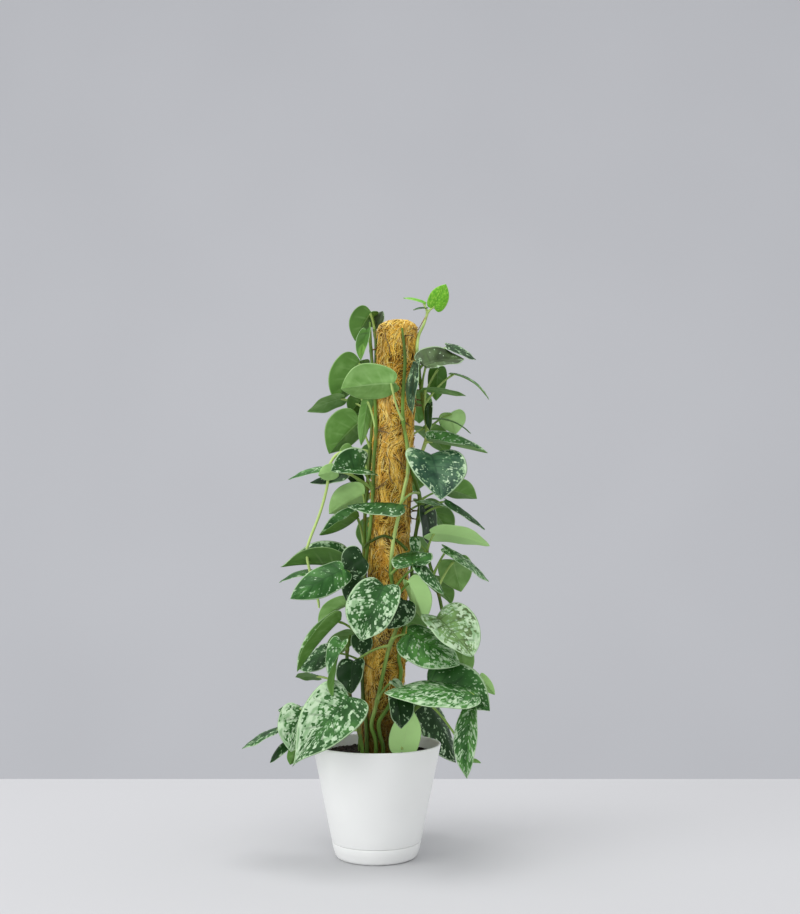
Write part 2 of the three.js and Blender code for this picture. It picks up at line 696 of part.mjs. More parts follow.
// Behind the pole, where the picture shows nothing, leaves stand by turns on either side of a stem
// at even heights, and each keeps to the stem's own quarter.
const BACK_STEMS = {
  vine_back_left: { quarter: 116 * DEGREE, seed: 11, lowest: 165 },
  vine_back_right: { quarter: 60 * DEGREE, seed: 29, lowest: 188 },
};
const BACK = {
  steps: 16,
  bends: [SOIL_TOP + 14, 200, 300, 400, 500, 600],
  highest: 590,
  spacing: 46,
  swing: 13 * DEGREE,
  jointOut: 62,
  tipOut: 118,
  drop: 34,
  stalkDrop: 22,
  wide: 50,
};

function aroundPole(angle, out, z) {
  return new THREE.Vector3(poleX(z) + out * Math.cos(angle), out * Math.sin(angle), z);
}

function backStem({ quarter, seed, lowest }) {
  const random = makeRandom(seed);
  const sway = (z) => quarter + 0.12 * Math.sin(z / 55);
  const points = BACK.bends.map((z) => aroundPole(sway(z), STEM_CLEAR + 0.6, z));
  points.unshift(points[0].clone().setZ(SOIL_TOP - ROOT_DEPTH), points[0].clone().setZ(SOIL_TOP + 5));
  const curve = new THREE.CatmullRomCurve3(points, false, "catmullrom", 0.5);
  const leaves = [];
  for (let z = lowest, turn = 1; z <= BACK.highest; z += BACK.spacing, turn = -turn) {
    const angle = quarter + turn * BACK.swing * (0.8 + 0.4 * random());
    const reach = 1 - 0.25 * ((z - lowest) / (BACK.highest - lowest)) + 0.1 * random();
    const drop = BACK.drop * (0.7 + 0.6 * random());
    const facing = aroundPole(angle, 1, 0).setZ(0.9).normalize();
    leaves.push({
      ...LEAF_DEFAULTS,
      start: nearestOn(curve, (point) => point.z - (z - BACK.stalkDrop)),
      joint: aroundPole(angle, BACK.jointOut * reach, z),
      tip: aroundPole(angle, BACK.tipOut * reach, z - drop),
      facing,
      bend: 26,
      wide: BACK.wide * (0.9 + 0.2 * random()),
    });
  }
  return { curve, leaves };
}

function stepsFor(spots) {
  return Math.round(1.6 * spots.length);
}

function leafSolids(leaf) {
  return [tube(stalkCurve(leaf), STALK_RADIUS, STALK_SIDES, STALK_STEPS), blade(leaf)];
}

function leafyStem({ stem, shoot, leaves }) {
  const curve = rooted(stem);
  const shootCurve = shoot && stemCurve(shoot);
  const pieces = [tube(curve, STEM_RADIUS, STEM_SIDES, stepsFor(stem))];
  if (shoot) pieces.push(tube(shootCurve, SHOOT_RADIUS, STALK_SIDES, stepsFor(shoot)));
  leaves.forEach((row) => {
    pieces.push(...leafSolids(photoLeaf(row.shoot ? shootCurve : curve, row)));
  });
  return { curve, solid: fuse(pieces) };
}

function leafyBackStem(plan) {
  const { curve, leaves } = backStem(plan);
  const pieces = [tube(curve, STEM_RADIUS, STEM_SIDES, BACK.steps), ...leaves.flatMap(leafSolids)];
  return { curve, solid: fuse(pieces) };
}

const PHOTO_STEMS = {
  vine_front_left: FRONT_LEFT,
  vine_left: LEFT,
  vine_front_right: FRONT_RIGHT,
  vine_right: RIGHT,
  vine_low_left: LOW_LEFT,
  vine_low_right: LOW_RIGHT,
};

const vines = Object.fromEntries([
  ...Object.entries(PHOTO_STEMS).map(([name, plan]) => [name, leafyStem(plan)]),
  ...Object.entries(BACK_STEMS).map(([name, plan]) => [name, leafyBackStem(plan)]),
]);

// The plain round hole that a stem stands in.
function stemHole(curve) {
  const foot = curve.getPoint(0);
  const above = foot.clone().setZ(SOIL_TOP + 5);
  foot.z -= 1;
  return tube(new THREE.LineCurve3(foot, above), STEM_RADIUS + HOLE_GAP, 6, 1);
}

function poleHole() {
  const profile = [
    [0, CORE_BOTTOM - SEAT_GAP],
    [CORE_RADIUS + HOLE_GAP, CORE_BOTTOM - SEAT_GAP],
    [CORE_RADIUS + HOLE_GAP, COIR_BOTTOM - SEAT_GAP],
    [POLE_RADIUS + HOLE_GAP, COIR_BOTTOM - SEAT_GAP],
    [POLE_RADIUS + HOLE_GAP, SOIL_TOP + 5],
    [0, SOIL_TOP + 5],
  ];
  return solidOf(leaned(turned(profile, COIR_SIDES)));
}

const group = new THREE.Group();

function addNode(name, geometry, color, roughness) {
  const material = new THREE.MeshStandardMaterial({ color, roughness, metalness: 0 });
  const mesh = new THREE.Mesh(geometry, material);
  mesh.name = name;
  group.add(mesh);
}

const holes = [poleHole(), ...Object.values(vines).map(({ curve }) => stemHole(curve))];

addNode("saucer", makeSaucer(), COLOURS.moulded, 0.45);
addNode("pot", makePot(), COLOURS.moulded, 0.45);
addNode("soil", makeSoil(holes), COLOURS.soil, 0.95);
addNode("pole_core", makeCore(), COLOURS.wood, 0.7);
addNode("coir_wrap", makeCoir(), COLOURS.coir, 0.95);
Object.entries(vines).forEach(([name, { solid }]) => {
  addNode(name, geometryOf(solid), COLOURS.vine, 0.5);
});

export default group;
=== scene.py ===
"""A satin pothos that climbs a coir pole, in a white pot on its own saucer.

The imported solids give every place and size. This script lays fine surfaces over them, with
their materials, and sets up the camera and a soft studio. Everything is in metres with +Z up,
and the origin is the middle of the saucer's flat bottom.
"""

import logging
import math
import random
from dataclasses import dataclass, field
from enum import Enum

import bmesh
import bpy
from bmesh.types import BMesh
from bpy.types import Curve, Material, NodeSocket, Object
from mathutils import Matrix, Vector, noise


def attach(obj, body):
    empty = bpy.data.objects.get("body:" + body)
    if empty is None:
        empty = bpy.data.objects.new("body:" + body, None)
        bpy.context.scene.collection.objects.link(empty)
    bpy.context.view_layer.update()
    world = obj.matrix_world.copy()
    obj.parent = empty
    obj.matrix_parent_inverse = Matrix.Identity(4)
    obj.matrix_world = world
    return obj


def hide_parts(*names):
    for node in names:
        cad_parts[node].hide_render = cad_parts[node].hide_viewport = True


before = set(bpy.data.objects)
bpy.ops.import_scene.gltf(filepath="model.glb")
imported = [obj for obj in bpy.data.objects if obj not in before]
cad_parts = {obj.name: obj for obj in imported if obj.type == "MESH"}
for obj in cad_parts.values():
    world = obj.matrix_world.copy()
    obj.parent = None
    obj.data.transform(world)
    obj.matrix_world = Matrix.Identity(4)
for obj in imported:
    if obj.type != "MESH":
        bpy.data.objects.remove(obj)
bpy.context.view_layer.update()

MM = 0.001
DEGREE = math.pi / 180
TURN = 2 * math.pi

log = logging.getLogger("satin_pothos")

# Sizes that several pieces share, the same as the solids have.
RIM_RADIUS = 76 * MM
RIM_HEIGHT = 130 * MM
SEAM_HEIGHT = 18.2 * MM
SEAM_RADIUS = 52.3 * MM
WALL = 2.2 * MM
RIM_LIP = 3.2 * MM
SEAT_GAP = 0.3 * MM
SAUCER_FLOOR = 2.4 * MM
SOIL_TOP = RIM_HEIGHT - 13 * MM
POLE_RADIUS = 25 * MM
POLE_TOP = 637 * MM
POLE_LEAN = 2.27 * DEGREE
COIR_BOTTOM = 34 * MM
BLADE_THICKNESS = 1 * MM
VEIN_SPACING = 9 * MM
STEM_RADIUS = 2.4 * MM
SHOOT_RADIUS = 1.9 * MM
STALK_RADIUS = 1.6 * MM
STEM_CLEAR = POLE_RADIUS + STEM_RADIUS + 0.8 * MM
ROOT_DEPTH = 30 * MM
STEM_FOOT = 14 * MM


# Small helpers


def linear(code: str) -> tuple[float, float, float, float]:
    """Turns a screen colour into the linear colour that shaders take.

    Args:
        code: An sRGB colour such as "#2c5a36".

    Returns:
        Linear red, green, blue and an alpha of 1.
    """
    channels = [int(code[i : i + 2], 16) / 255 for i in (1, 3, 5)]
    curve = [c / 12.92 if c <= 0.04045 else ((c + 0.055) / 1.055) ** 2.4 for c in channels]
    return (*curve, 1.0)


def pole_x(z: float) -> float:
    """Gives the leaning pole's middle at a height.

    Args:
        z: Height over the origin.

    Returns:
        The middle's place along X.
    """
    return z * math.tan(POLE_LEAN)


def outer_radius(z: float) -> float:
    """Gives the radius of the straight sloping side that pot and saucer share.

    Args:
        z: Height over the origin.

    Returns:
        The outside radius there.
    """
    slope = (RIM_RADIUS - SEAM_RADIUS) / (RIM_HEIGHT - SEAM_HEIGHT)
    return SEAM_RADIUS + slope * (z - SEAM_HEIGHT)


def smooth_object(name: str, sheet: BMesh, *finishes: Material) -> Object:
    """Turns a finished bmesh into a smooth-shaded object in the scene.

    Args:
        name: The piece's name.
        sheet: Its geometry, which is freed.
        finishes: The materials of its slots, in order.

    Returns:
        The new object, at the origin.
    """
    mesh = bpy.data.meshes.new(name)
    sheet.to_mesh(mesh)
    sheet.free()
    mesh.shade_smooth()
    for finish in finishes:
        mesh.materials.append(finish)
    piece = bpy.data.objects.new(name, mesh)
    bpy.context.collection.objects.link(piece)
    return piece


def settle(piece: Object, slot: str, *nodes: str) -> None:
    """Lets a piece ride on the plant's one body and stand for its solids.

    Args:
        piece: The finished piece.
        slot: The record's material slot for the piece; not used.
        nodes: The solids that it replaces.
    """
    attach(piece, "root")
    if nodes:
        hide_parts(*nodes)
    log.info("%s: %d faces", piece.name, len(piece.data.polygons))


# Materials

SOFT_STEP = "SMOOTHSTEP"
NOISE_ROUGHNESS = 0.5
NOISE_LACUNARITY = 2.0


class Sheet:
    """One material's node tree, ending in a Principled shader."""

    def __init__(self, name: str, **constants: float) -> None:
        """Starts the tree.

        Args:
            name: The material's name.
            constants: Values for the shader's own sockets, with _ for each space.
        """
        self.material = bpy.data.materials.new(name)
        self.material.use_nodes = True
        self.tree = self.material.node_tree
        self.tree.nodes.clear()
        shader = self.add("BsdfPrincipled")
        self.sockets = shader.node.inputs
        for socket, value in constants.items():
            self.sockets[socket.replace("_", " ")].default_value = value
        self.add("OutputMaterial", shader)

    def add(self, kind: str, *values, out: str = "", stops: tuple = (), **settings) -> NodeSocket | None:
        """Adds a node with its settings and links.

        Args:
            kind: The node's Blender type, without the "ShaderNode" before it.
            values: Numbers, colour codes or outputs, in order, for the inputs that it uses.
            out: The name of the output that is wanted, where it isn't the first.
            stops: Places and colour codes, for a node with a colour ramp.
            settings: The node's own properties.

        Returns:
            The wanted output, if the node has any.
        """
        node = self.tree.nodes.new("ShaderNode" + kind)
        for key, value in settings.items():
            setattr(node, key, value)
        for socket, value in zip([socket for socket in node.inputs if socket.enabled], values):
            if isinstance(value, NodeSocket):
                self.tree.links.new(value, socket)
            else:
                socket.default_value = linear(value) if isinstance(value, str) else value
        if stops:
            elements = node.color_ramp.elements
            while len(elements) < len(stops):
                elements.new(0.5)
            for element, (place, code) in zip(elements, stops):
                element.position = place
                element.color = linear(code)
        wanted = (socket for socket in node.outputs if socket.enabled and out in ("", socket.name))
        return next(wanted, None)

    def blots(self, place, size, detail: float = 2, seed=0.0, swirl: float = 0) -> NodeSocket:
        """Adds a pattern of blots that have a real size.

        Args:
            place: The coordinates that it reads.
            size: The size of its blots in metres, or three of them.
            detail: How many finer layers it has.
            seed: A number or an output that moves the pattern.
            swirl: How much it is distorted.

        Returns:
            A value around 0.5.
        """
        sizes = size if isinstance(size, tuple) else (size, size, size)
        scaled = self.add("VectorMath", place, tuple(1 / s for s in sizes), operation="MULTIPLY")
        inputs = (scaled, seed, 1.0, detail, NOISE_ROUGHNESS, NOISE_LACUNARITY, swirl)
        return self.add("TexNoise", *inputs, noise_dimensions="4D")

    def cover(self, share, colour, over, most: float = 1.0) -> NodeSocket:
        """Covers a colour with another where a share says so, by no more than a given part."""
        amount = self.add("Math", share, most, operation="MULTIPLY")
        return self.add("Mix", amount, colour, over, data_type="RGBA")

    def finish(self, colour, height=None, rise=0.2 * MM, strength=0.5, roughness=None) -> Material:
        """Links the colour, bump and roughness to the shader.

        Args:
            colour: The base colour's output.
            height: The bump's height output, if it has a bump.
            rise: The bump's height in metres.
            strength: The bump's strength.
            roughness: The roughness output, if it varies.

        Returns:
            The finished material.
        """
        self.tree.links.new(colour, self.sockets["Base Color"])
        if height is not None:
            bump = self.add("Bump", strength, rise)
            self.tree.links.new(height, bump.node.inputs["Height"])
            self.tree.links.new(bump, self.sockets["Normal"])
        if roughness is not None:
            self.tree.links.new(roughness, self.sockets["Roughness"])
        return self.material


@dataclass(frozen=True)
class Blotched:
    """A plain finish whose colour and relief follow one pattern of blots.

    Attributes:
        name: The material's name.
        dark: The colour of the pattern's low parts.
        light: The colour of its high parts.
        size: The size of its blots.
        detail: How many finer layers it has.
        rough: The roughness.
        strength: The relief's strength, 0 for a flat sheet.
        swirl: How much the blots are distorted.
        edge: How far from the middle each colour is full.
    """

    name: str
    dark: str
    light: str
    size: float | tuple
    detail: float
    rough: float
    strength: float = 0.0
    swirl: float = 0.0
    edge: float = 0.15

    def material(self) -> Material:
        """Makes the material.

        Returns:
            The material.
        """
        sheet = Sheet(self.name, Roughness=self.rough)
        place = sheet.add("TexCoord", out="Object")
        blot = sheet.blots(place, self.size, self.detail, 0.0, self.swirl)
        stops = ((0.5 - self.edge, self.dark), (0.5 + self.edge, self.light))
        colour = sheet.add("ValToRGB", blot, stops=stops)
        return sheet.finish(colour, blot if self.strength else None, strength=self.strength)


# Sawn bare pine for the stake: pale, dull, with a long fine grain.
GRAIN = (1.2 * MM, 1.2 * MM, 40 * MM)
STAKE_WOOD = Blotched("stake_wood", "#8a6a40", "#c3a473", GRAIN, 4, 0.7, 0.5, 0.6)
# Dried skin for the aerial roots: brown and dull, in paler blots where it still lives.
ROOT_SKIN = Blotched("aerial_root", "#4b351d", "#a88d5c", 3 * MM, 3, 0.8, 0.6)
# Rolled wall paint for the studio: matte and a little uneven.
FLOOR_PAINT = Blotched("floor_paint", "#c4c4c6", "#c7c7c9", 0.9, 1, 0.85, edge=0.2)
BACKDROP_PAINT = Blotched("backdrop_paint", "#c0c1c5", "#c3c4c8", 0.9, 1, 0.85, edge=0.2)


@dataclass(frozen=True)
class MouldedPlastic:
    """Injection-moulded white polypropylene: even and satin, with hardly any flow marks."""

    light: str = "#f7f8f6"
    shade: str = "#f4f5f3"
    blot: float = 50 * MM
    grain: float = 0.5 * MM

    def material(self) -> Material:
        """Makes the material.

        Returns:
            The material.
        """
        sheet = Sheet("moulded_white", Roughness=0.42)
        place = sheet.add("TexCoord", out="Object")
        flow = sheet.blots(place, self.blot, 1)
        grain = sheet.blots(place, self.grain, 2)
        colour = sheet.add("ValToRGB", flow, stops=((0.35, self.shade), (0.65, self.light)))
        rough = sheet.add("Math", flow, 0.06, 0.4, operation="MULTIPLY_ADD")
        return sheet.finish(colour, grain, 0.05 * MM, 0.25, rough)


@dataclass(frozen=True)
class PottingMix:
    """Damp peat and bark: near-black brown with paler flecks of bark, rough all over."""

    dark: str = "#0e0906"
    middle: str = "#20160f"
    fleck: str = "#46321f"
    crumb: float = 4 * MM

    def material(self) -> Material:
        """Makes the material.

        Returns:
            The material.
        """
        sheet = Sheet("potting_mix", Roughness=0.9)
        place = sheet.add("TexCoord", out="Object")
        crumbs = sheet.blots(place, self.crumb, 4)
        fine = sheet.blots(place, self.crumb / 5, 3)
        stops = ((0.3, self.dark), (0.55, self.middle), (0.75, self.fleck))
        colour = sheet.add("ValToRGB", crumbs, stops=stops)
        return sheet.finish(colour, sheet.add("Math", crumbs, fine, operation="ADD"), 1.2 * MM, 0.9)


@dataclass(frozen=True)
class CoirFelt:
    """The matted fibre under the loose strands, seen only through the gaps: golden brown, darkened with
    painted shade so that the gaps look deep.
    """

    # The dark end is painted shade in the gaps between the strands.
    dark: str = "#3a260a"
    middle: str = "#84601e"
    light: str = "#bc8e36"
    upright: tuple = (1.4 * MM, 1.4 * MM, 7 * MM)
    level: tuple = (6 * MM, 6 * MM, 1.3 * MM)

    def material(self) -> Material:
        """Makes the material.

        Returns:
            The material.
        """
        sheet = Sheet("coir_felt", Roughness=0.95)
        place = sheet.add("TexCoord", out="Object")
        long = sheet.blots(place, self.upright, 3, swirl=1.2)
        cross = sheet.blots(place, self.level, 3, seed=4.0, swirl=1.2)
        threads = sheet.add("Math", long, cross, operation="MAXIMUM")
        stops = ((0.4, self.dark), (0.58, self.middle), (0.75, self.light))
        colour = sheet.add("ValToRGB", threads, stops=stops)
        return sheet.finish(colour, threads, 1.4 * MM, 1.0)


@dataclass(frozen=True)
class CoirStrand:
    """Loose coconut fibre: faintly glossy, each its own shade of straw or rust, with painted shade toward
    the soil and in soft patches.
    """

    name: str
    dark: str
    middle: str
    light: str
    rust: str = "#cc8024"
    # The colour of the painted shade near the soil, and the heights over which it fades in.
    painted_low_shade: str = "#2a1a08"
    low_shade_from: float = 205 * MM
    low_shade_to: float = 150 * MM
    rust_patch: tuple = (12 * MM, 12 * MM, 20 * MM)
    # The size of the painted shade patches.
    painted_shade_patch: tuple = (7 * MM, 7 * MM, 12 * MM)

    def material(self) -> Material:
        """Makes the material.

        Returns:
            The material.
        """
        sheet = Sheet(self.name, Roughness=0.7, Specular_IOR_Level=0.2)
        place = sheet.add("TexCoord", out="Object")
        own = sheet.add("NewGeometry", out="Random Per Island")
        own = sheet.add("Math", own, 0.8, operation="MULTIPLY")
        tone = sheet.add("Math", sheet.blots(place, 6 * MM, 3), 0.3, own, operation="MULTIPLY_ADD")
        stops = ((0.16, self.dark), (0.42, self.middle), (0.75, self.light))
        colour = sheet.add("ValToRGB", tone, stops=stops)
        rusty = sheet.blots(place, self.rust_patch, 2, 5.0)
        rusty = sheet.add("MapRange", rusty, 0.5, 0.64, interpolation_type=SOFT_STEP)
        colour = sheet.cover(rusty, colour, self.rust, 0.3)
        # Painted shade: the strands darken toward the soil, where the leaves and the pot shade them.
        height = sheet.add("SeparateXYZ", place, out="Z")
        painted_low_shade = sheet.add("MapRange", height, self.low_shade_from, self.low_shade_to, interpolation_type=SOFT_STEP)
        colour = sheet.cover(painted_low_shade, colour, self.painted_low_shade, 0.75)
        # Painted shade: soft patches darkened toward the dark strand colour, as shade among the fibres.
        painted_shade_patch = sheet.blots(place, self.painted_shade_patch, 2, 2.0)
        painted_shade_patch = sheet.add("MapRange", painted_shade_patch, 0.5, 0.34, interpolation_type=SOFT_STEP)
        colour = sheet.cover(painted_shade_patch, colour, self.dark, 0.5)
        return sheet.finish(colour, sheet.blots(place, 0.6 * MM, 2), 0.1 * MM, 0.4)


class LeafSheet(Sheet):
    """A leaf finish's nodes, with what every one of them reads from the blade."""

    def __init__(self, name: str, seed_span: float = 53.0, **constants: float) -> None:
        """Starts the tree and reads the blade.

        Args:
            name: The material's name.
            seed_span: How far the patterns of two leaves can lie apart.
            constants: Values for the shader's own sockets.
        """
        super().__init__(name, **constants)
        self.veins = self.add("UVMap", uv_map="veins")
        look = self.add("Attribute", attribute_name="leaf")
        self.share = look.node.outputs["Alpha"]
        seed, self.silver, self.shade = self.add("SeparateColor", look).node.outputs
        self.seed = self.add("Math", seed, seed_span, operation="MULTIPLY")
        across = self.add("SeparateXYZ", self.veins, out="X")
        phase = self.add("Math", across, TURN / VEIN_SPACING, operation="MULTIPLY")
        self.furrow = self.add("Math", phase, operation="SINE")
        self.midrib = self.add("MapRange", self.share, 0.05, 0.015, interpolation_type=SOFT_STEP)

    def patches(self, *sizes: float, detail: float = 2, swirl: float = 0) -> NodeSocket:
        """Adds blots of a size along and across the blade, of which each leaf has its own part."""
        return self.blots(self.veins, (*sizes, 1.0), detail, self.seed, swirl)


@dataclass(frozen=True)
class LeafUpper:
    """The upper face: velvety green with silver flecks strung between the side veins.

    The flecks are where tiny air pockets lift the skin, so they are paler and a little duller.
    Each leaf has its own share of them, and they thin out along the midrib and at the joint.
    """

    name: str = "leaf_green"
    deep: str = "#0f340a"
    ground: str = "#2a5c21"
    young: str = "#4a8435"
    halo: str = "#62905a"
    dull: str = "#8aad80"
    silver: str = "#bbd2b0"
    rim: str = "#b6d4a6"
    haze: float = 0.06
    cloud: tuple = (14 * MM, 20 * MM)
    blotch: tuple = (4.4 * MM, 8.0 * MM)
    fleck: tuple = (2.5 * MM, 3.4 * MM, 1.0)
    streak: tuple = (1.2 * MM, 9.0 * MM)
    gleam: tuple = (5 * MM, 5 * MM)

    def material(self) -> Material:
        """Makes the material.

        Returns:
            The material.
        """
        sheet = LeafSheet(self.name, Roughness=0.45, Specular_IOR_Level=0.2)
        clouds = sheet.patches(*self.cloud)
        over = self.silver_over(sheet, clouds)
        patch = sheet.add("MapRange", over, -0.008, 0.022, interpolation_type=SOFT_STEP)
        halo = sheet.add("MapRange", over, -0.05, 0.0, interpolation_type=SOFT_STEP)
        haze = sheet.add("MapRange", clouds, 0.4, 0.65, interpolation_type=SOFT_STEP)
        gleam = sheet.patches(*self.gleam, detail=1)
        gleam = sheet.add("MapRange", gleam, 0.38, 0.6, interpolation_type=SOFT_STEP)
        # Painted shade: the side-vein furrows and the midrib groove are darkened toward the deep green.
        furrow = sheet.add("MapRange", sheet.furrow, -0.75, -1.0, interpolation_type=SOFT_STEP)
        inside = sheet.add("MapRange", sheet.share, 0.95, 0.5, interpolation_type=SOFT_STEP)
        vein = sheet.add("Math", furrow, inside, operation="MULTIPLY")
        vein = sheet.add("Math", vein, sheet.midrib, operation="MAXIMUM")
        rim = sheet.add("MapRange", sheet.share, 0.925, 0.965, interpolation_type=SOFT_STEP)
        # Painted light and shade: each leaf's shade value darkens or lightens its whole face, beyond its
        # own tone.
        light = sheet.add("Math", sheet.shade, 0.3, operation="SUBTRACT")
        tone = sheet.add("Math", clouds, 1.1, light, operation="MULTIPLY_ADD")
        stops = ((0.35, self.deep), (0.75, self.ground), (1.0, self.young))
        colour = sheet.add("ValToRGB", tone, stops=stops)
        colour = sheet.cover(haze, colour, self.dull, self.haze)
        colour = sheet.cover(halo, colour, self.halo, 0.25)
        colour = sheet.cover(patch, colour, sheet.cover(gleam, self.dull, self.silver), 0.92)
        colour = sheet.cover(vein, colour, self.deep, 0.4)
        colour = sheet.cover(rim, colour, self.rim, 0.8)
        raised = sheet.add("Math", patch, 0.3, operation="MULTIPLY")
        relief = sheet.add("Math", sheet.furrow, 0.5, raised, operation="MULTIPLY_ADD")
        rough = sheet.add("Math", patch, 0.12, 0.46, operation="MULTIPLY_ADD")
        return sheet.finish(colour, relief, 0.35 * MM, 0.6, rough)

    def silver_over(self, sheet: LeafSheet, clouds: NodeSocket) -> NodeSocket:
        """Finds how far each spot stands over the height from which it is silver.

        Args:
            sheet: The material's nodes.
            clouds: A broad pattern that gathers the silver in patches.

        Returns:
            The height over the threshold.
        """
        layer = sheet.add("CombineXYZ", 0.0, 0.0, sheet.seed)
        scale = tuple(1 / size for size in self.fleck)
        spread = sheet.add("VectorMath", sheet.veins, scale, layer, operation="MULTIPLY_ADD")
        dots = sheet.add("TexVoronoi", spread, 1.0)
        flecks = sheet.add("Math", dots, -0.9, 1.0, operation="MULTIPLY_ADD")
        blotches = sheet.patches(*self.blotch, swirl=0.5)
        blotches = sheet.add("Math", blotches, 0.62, operation="MULTIPLY")
        streaks = sheet.patches(*self.streak, detail=1)
        height = sheet.add("Math", flecks, 0.3, blotches, operation="MULTIPLY_ADD")
        height = sheet.add("Math", streaks, 0.28, height, operation="MULTIPLY_ADD")
        covered = sheet.add("Math", sheet.silver, operation="SQRT")
        inner = sheet.add("MapRange", sheet.share, 0.3, 0.0, interpolation_type=SOFT_STEP)
        outer = sheet.add("MapRange", sheet.share, 0.6, 0.95, interpolation_type=SOFT_STEP)
        level = 0.89
        for part, weight in ((covered, -0.29), (clouds, -0.16), (inner, 0.08), (outer, -0.03)):
            level = sheet.add("Math", part, weight, level, operation="MULTIPLY_ADD")
        return sheet.add("Math", height, level, operation="SUBTRACT")


@dataclass(frozen=True)
class LeafUnderside:
    """The underside: matte grey-green, with the midrib and side veins only just showing."""

    deep: str = "#2a4c18"
    middle: str = "#62913f"
    pale: str = "#c0ec9a"
    vein: str = "#b8dc96"
    cloud: tuple = (10 * MM, 14 * MM)
    grain: tuple = (0.8 * MM, 0.8 * MM)

    def material(self) -> Material:
        """Makes the material.

        Returns:
            The material.
        """
        sheet = LeafSheet("leaf_underside", 31.0, Roughness=0.6, Specular_IOR_Level=0.25)
        clouds = sheet.patches(*self.cloud)
        # Painted light and shade: each leaf's shade value darkens or lightens its whole underside, beyond
        # its own tone.
        light = sheet.add("Math", sheet.shade, 0.2, operation="SUBTRACT")
        tone = sheet.add("Math", clouds, 0.4, light, operation="MULTIPLY_ADD")
        stops = ((0.0, self.deep), (0.5, self.middle), (1.0, self.pale))
        colour = sheet.add("ValToRGB", tone, stops=stops)
        ridge = sheet.add("MapRange", sheet.furrow, 0.7, 1.0, interpolation_type=SOFT_STEP)
        inside = sheet.add("MapRange", sheet.share, 0.9, 0.3, interpolation_type=SOFT_STEP)
        side = sheet.add("Math", ridge, inside, operation="MULTIPLY")
        side = sheet.add("Math", side, 0.1, operation="MULTIPLY")
        rib = sheet.add("Math", sheet.midrib, 0.3, operation="MULTIPLY")
        colour = sheet.cover(sheet.add("Math", side, rib, operation="MAXIMUM"), colour, self.vein)
        rim = sheet.add("MapRange", sheet.share, 0.94, 0.98, interpolation_type=SOFT_STEP)
        colour = sheet.cover(rim, colour, self.vein, 0.5)
        grain = sheet.add("Math", sheet.patches(*self.grain), 0.4, operation="MULTIPLY")
        relief = sheet.add("Math", sheet.furrow, 0.25, grain, operation="MULTIPLY_ADD")
        return sheet.finish(colour, relief, 0.25 * MM, 0.5)


@dataclass(frozen=True)
class NewLeaf:
    """A leaf of this month: bright yellow-green and glossy, with its flecks only just showing."""

    deep: str = "#4e9a0c"
    middle: str = "#6ab208"
    pale: str = "#96cc48"
    fleck: tuple = (1.8 * MM, 2.6 * MM, 1.0)

    def material(self) -> Material:
        """Makes the material.

        Returns:
            The material.
        """
        sheet = LeafSheet("leaf_new", Roughness=0.42)
        flecks = sheet.blots(sheet.veins, self.fleck)
        stops = ((0.35, self.deep), (0.52, self.middle), (0.68, self.pale))
        colour = sheet.add("ValToRGB", flecks, stops=stops)
        rim = sheet.add("MapRange", sheet.share, 0.9, 0.98, interpolation_type=SOFT_STEP)
        colour = sheet.cover(rim, colour, self.pale, 0.6)
        return sheet.finish(colour, flecks, 0.15 * MM, 0.4)


@dataclass(frozen=True)
class StemSkin:
    """Stems and leaf stalks: green skin, yellower where young, with corky brown rings at the nodes."""

    old: str = "#3a4e12"
    middle: str = "#6a9036"
    young: str = "#bcd67e"
    cork: str = "#86733a"
    streak: tuple = (1.5 * MM, 1.5 * MM, 14 * MM)
    drift: tuple = (40 * MM, 40 * MM, 60 * MM)

    def material(self) -> Material:
        """Makes the material.

        Returns:
            The material.
        """
        sheet = Sheet("stem_skin", Roughness=0.5, Specular_IOR_Level=0.3)
        look = sheet.add("Attribute", attribute_name="stem")
        youth_and_shade, ring, _ = sheet.add("SeparateColor", look).node.outputs
        place = sheet.add("TexCoord", out="Object")
        streak = sheet.blots(place, self.streak, 3)
        slow = sheet.blots(place, self.drift, 1)
        wander = sheet.add("Math", streak, 0.3, operation="MULTIPLY")
        wander = sheet.add("Math", slow, 0.9, wander, operation="MULTIPLY_ADD")
        # Painted shade: low youth values darken the stems where they lie in the foliage's shade.
        light = sheet.add("Math", youth_and_shade, 0.6, operation="SUBTRACT")
        tone = sheet.add("Math", wander, light, operation="ADD")
        stops = ((0.1, self.old), (0.5, self.middle), (0.9, self.young))
        colour = sheet.add("ValToRGB", tone, stops=stops)
        colour = sheet.cover(ring, colour, self.cork, 0.6)
        return sheet.finish(colour, streak, 0.2 * MM, 0.4)


# The photograph's camera, by which stems and leaves are placed


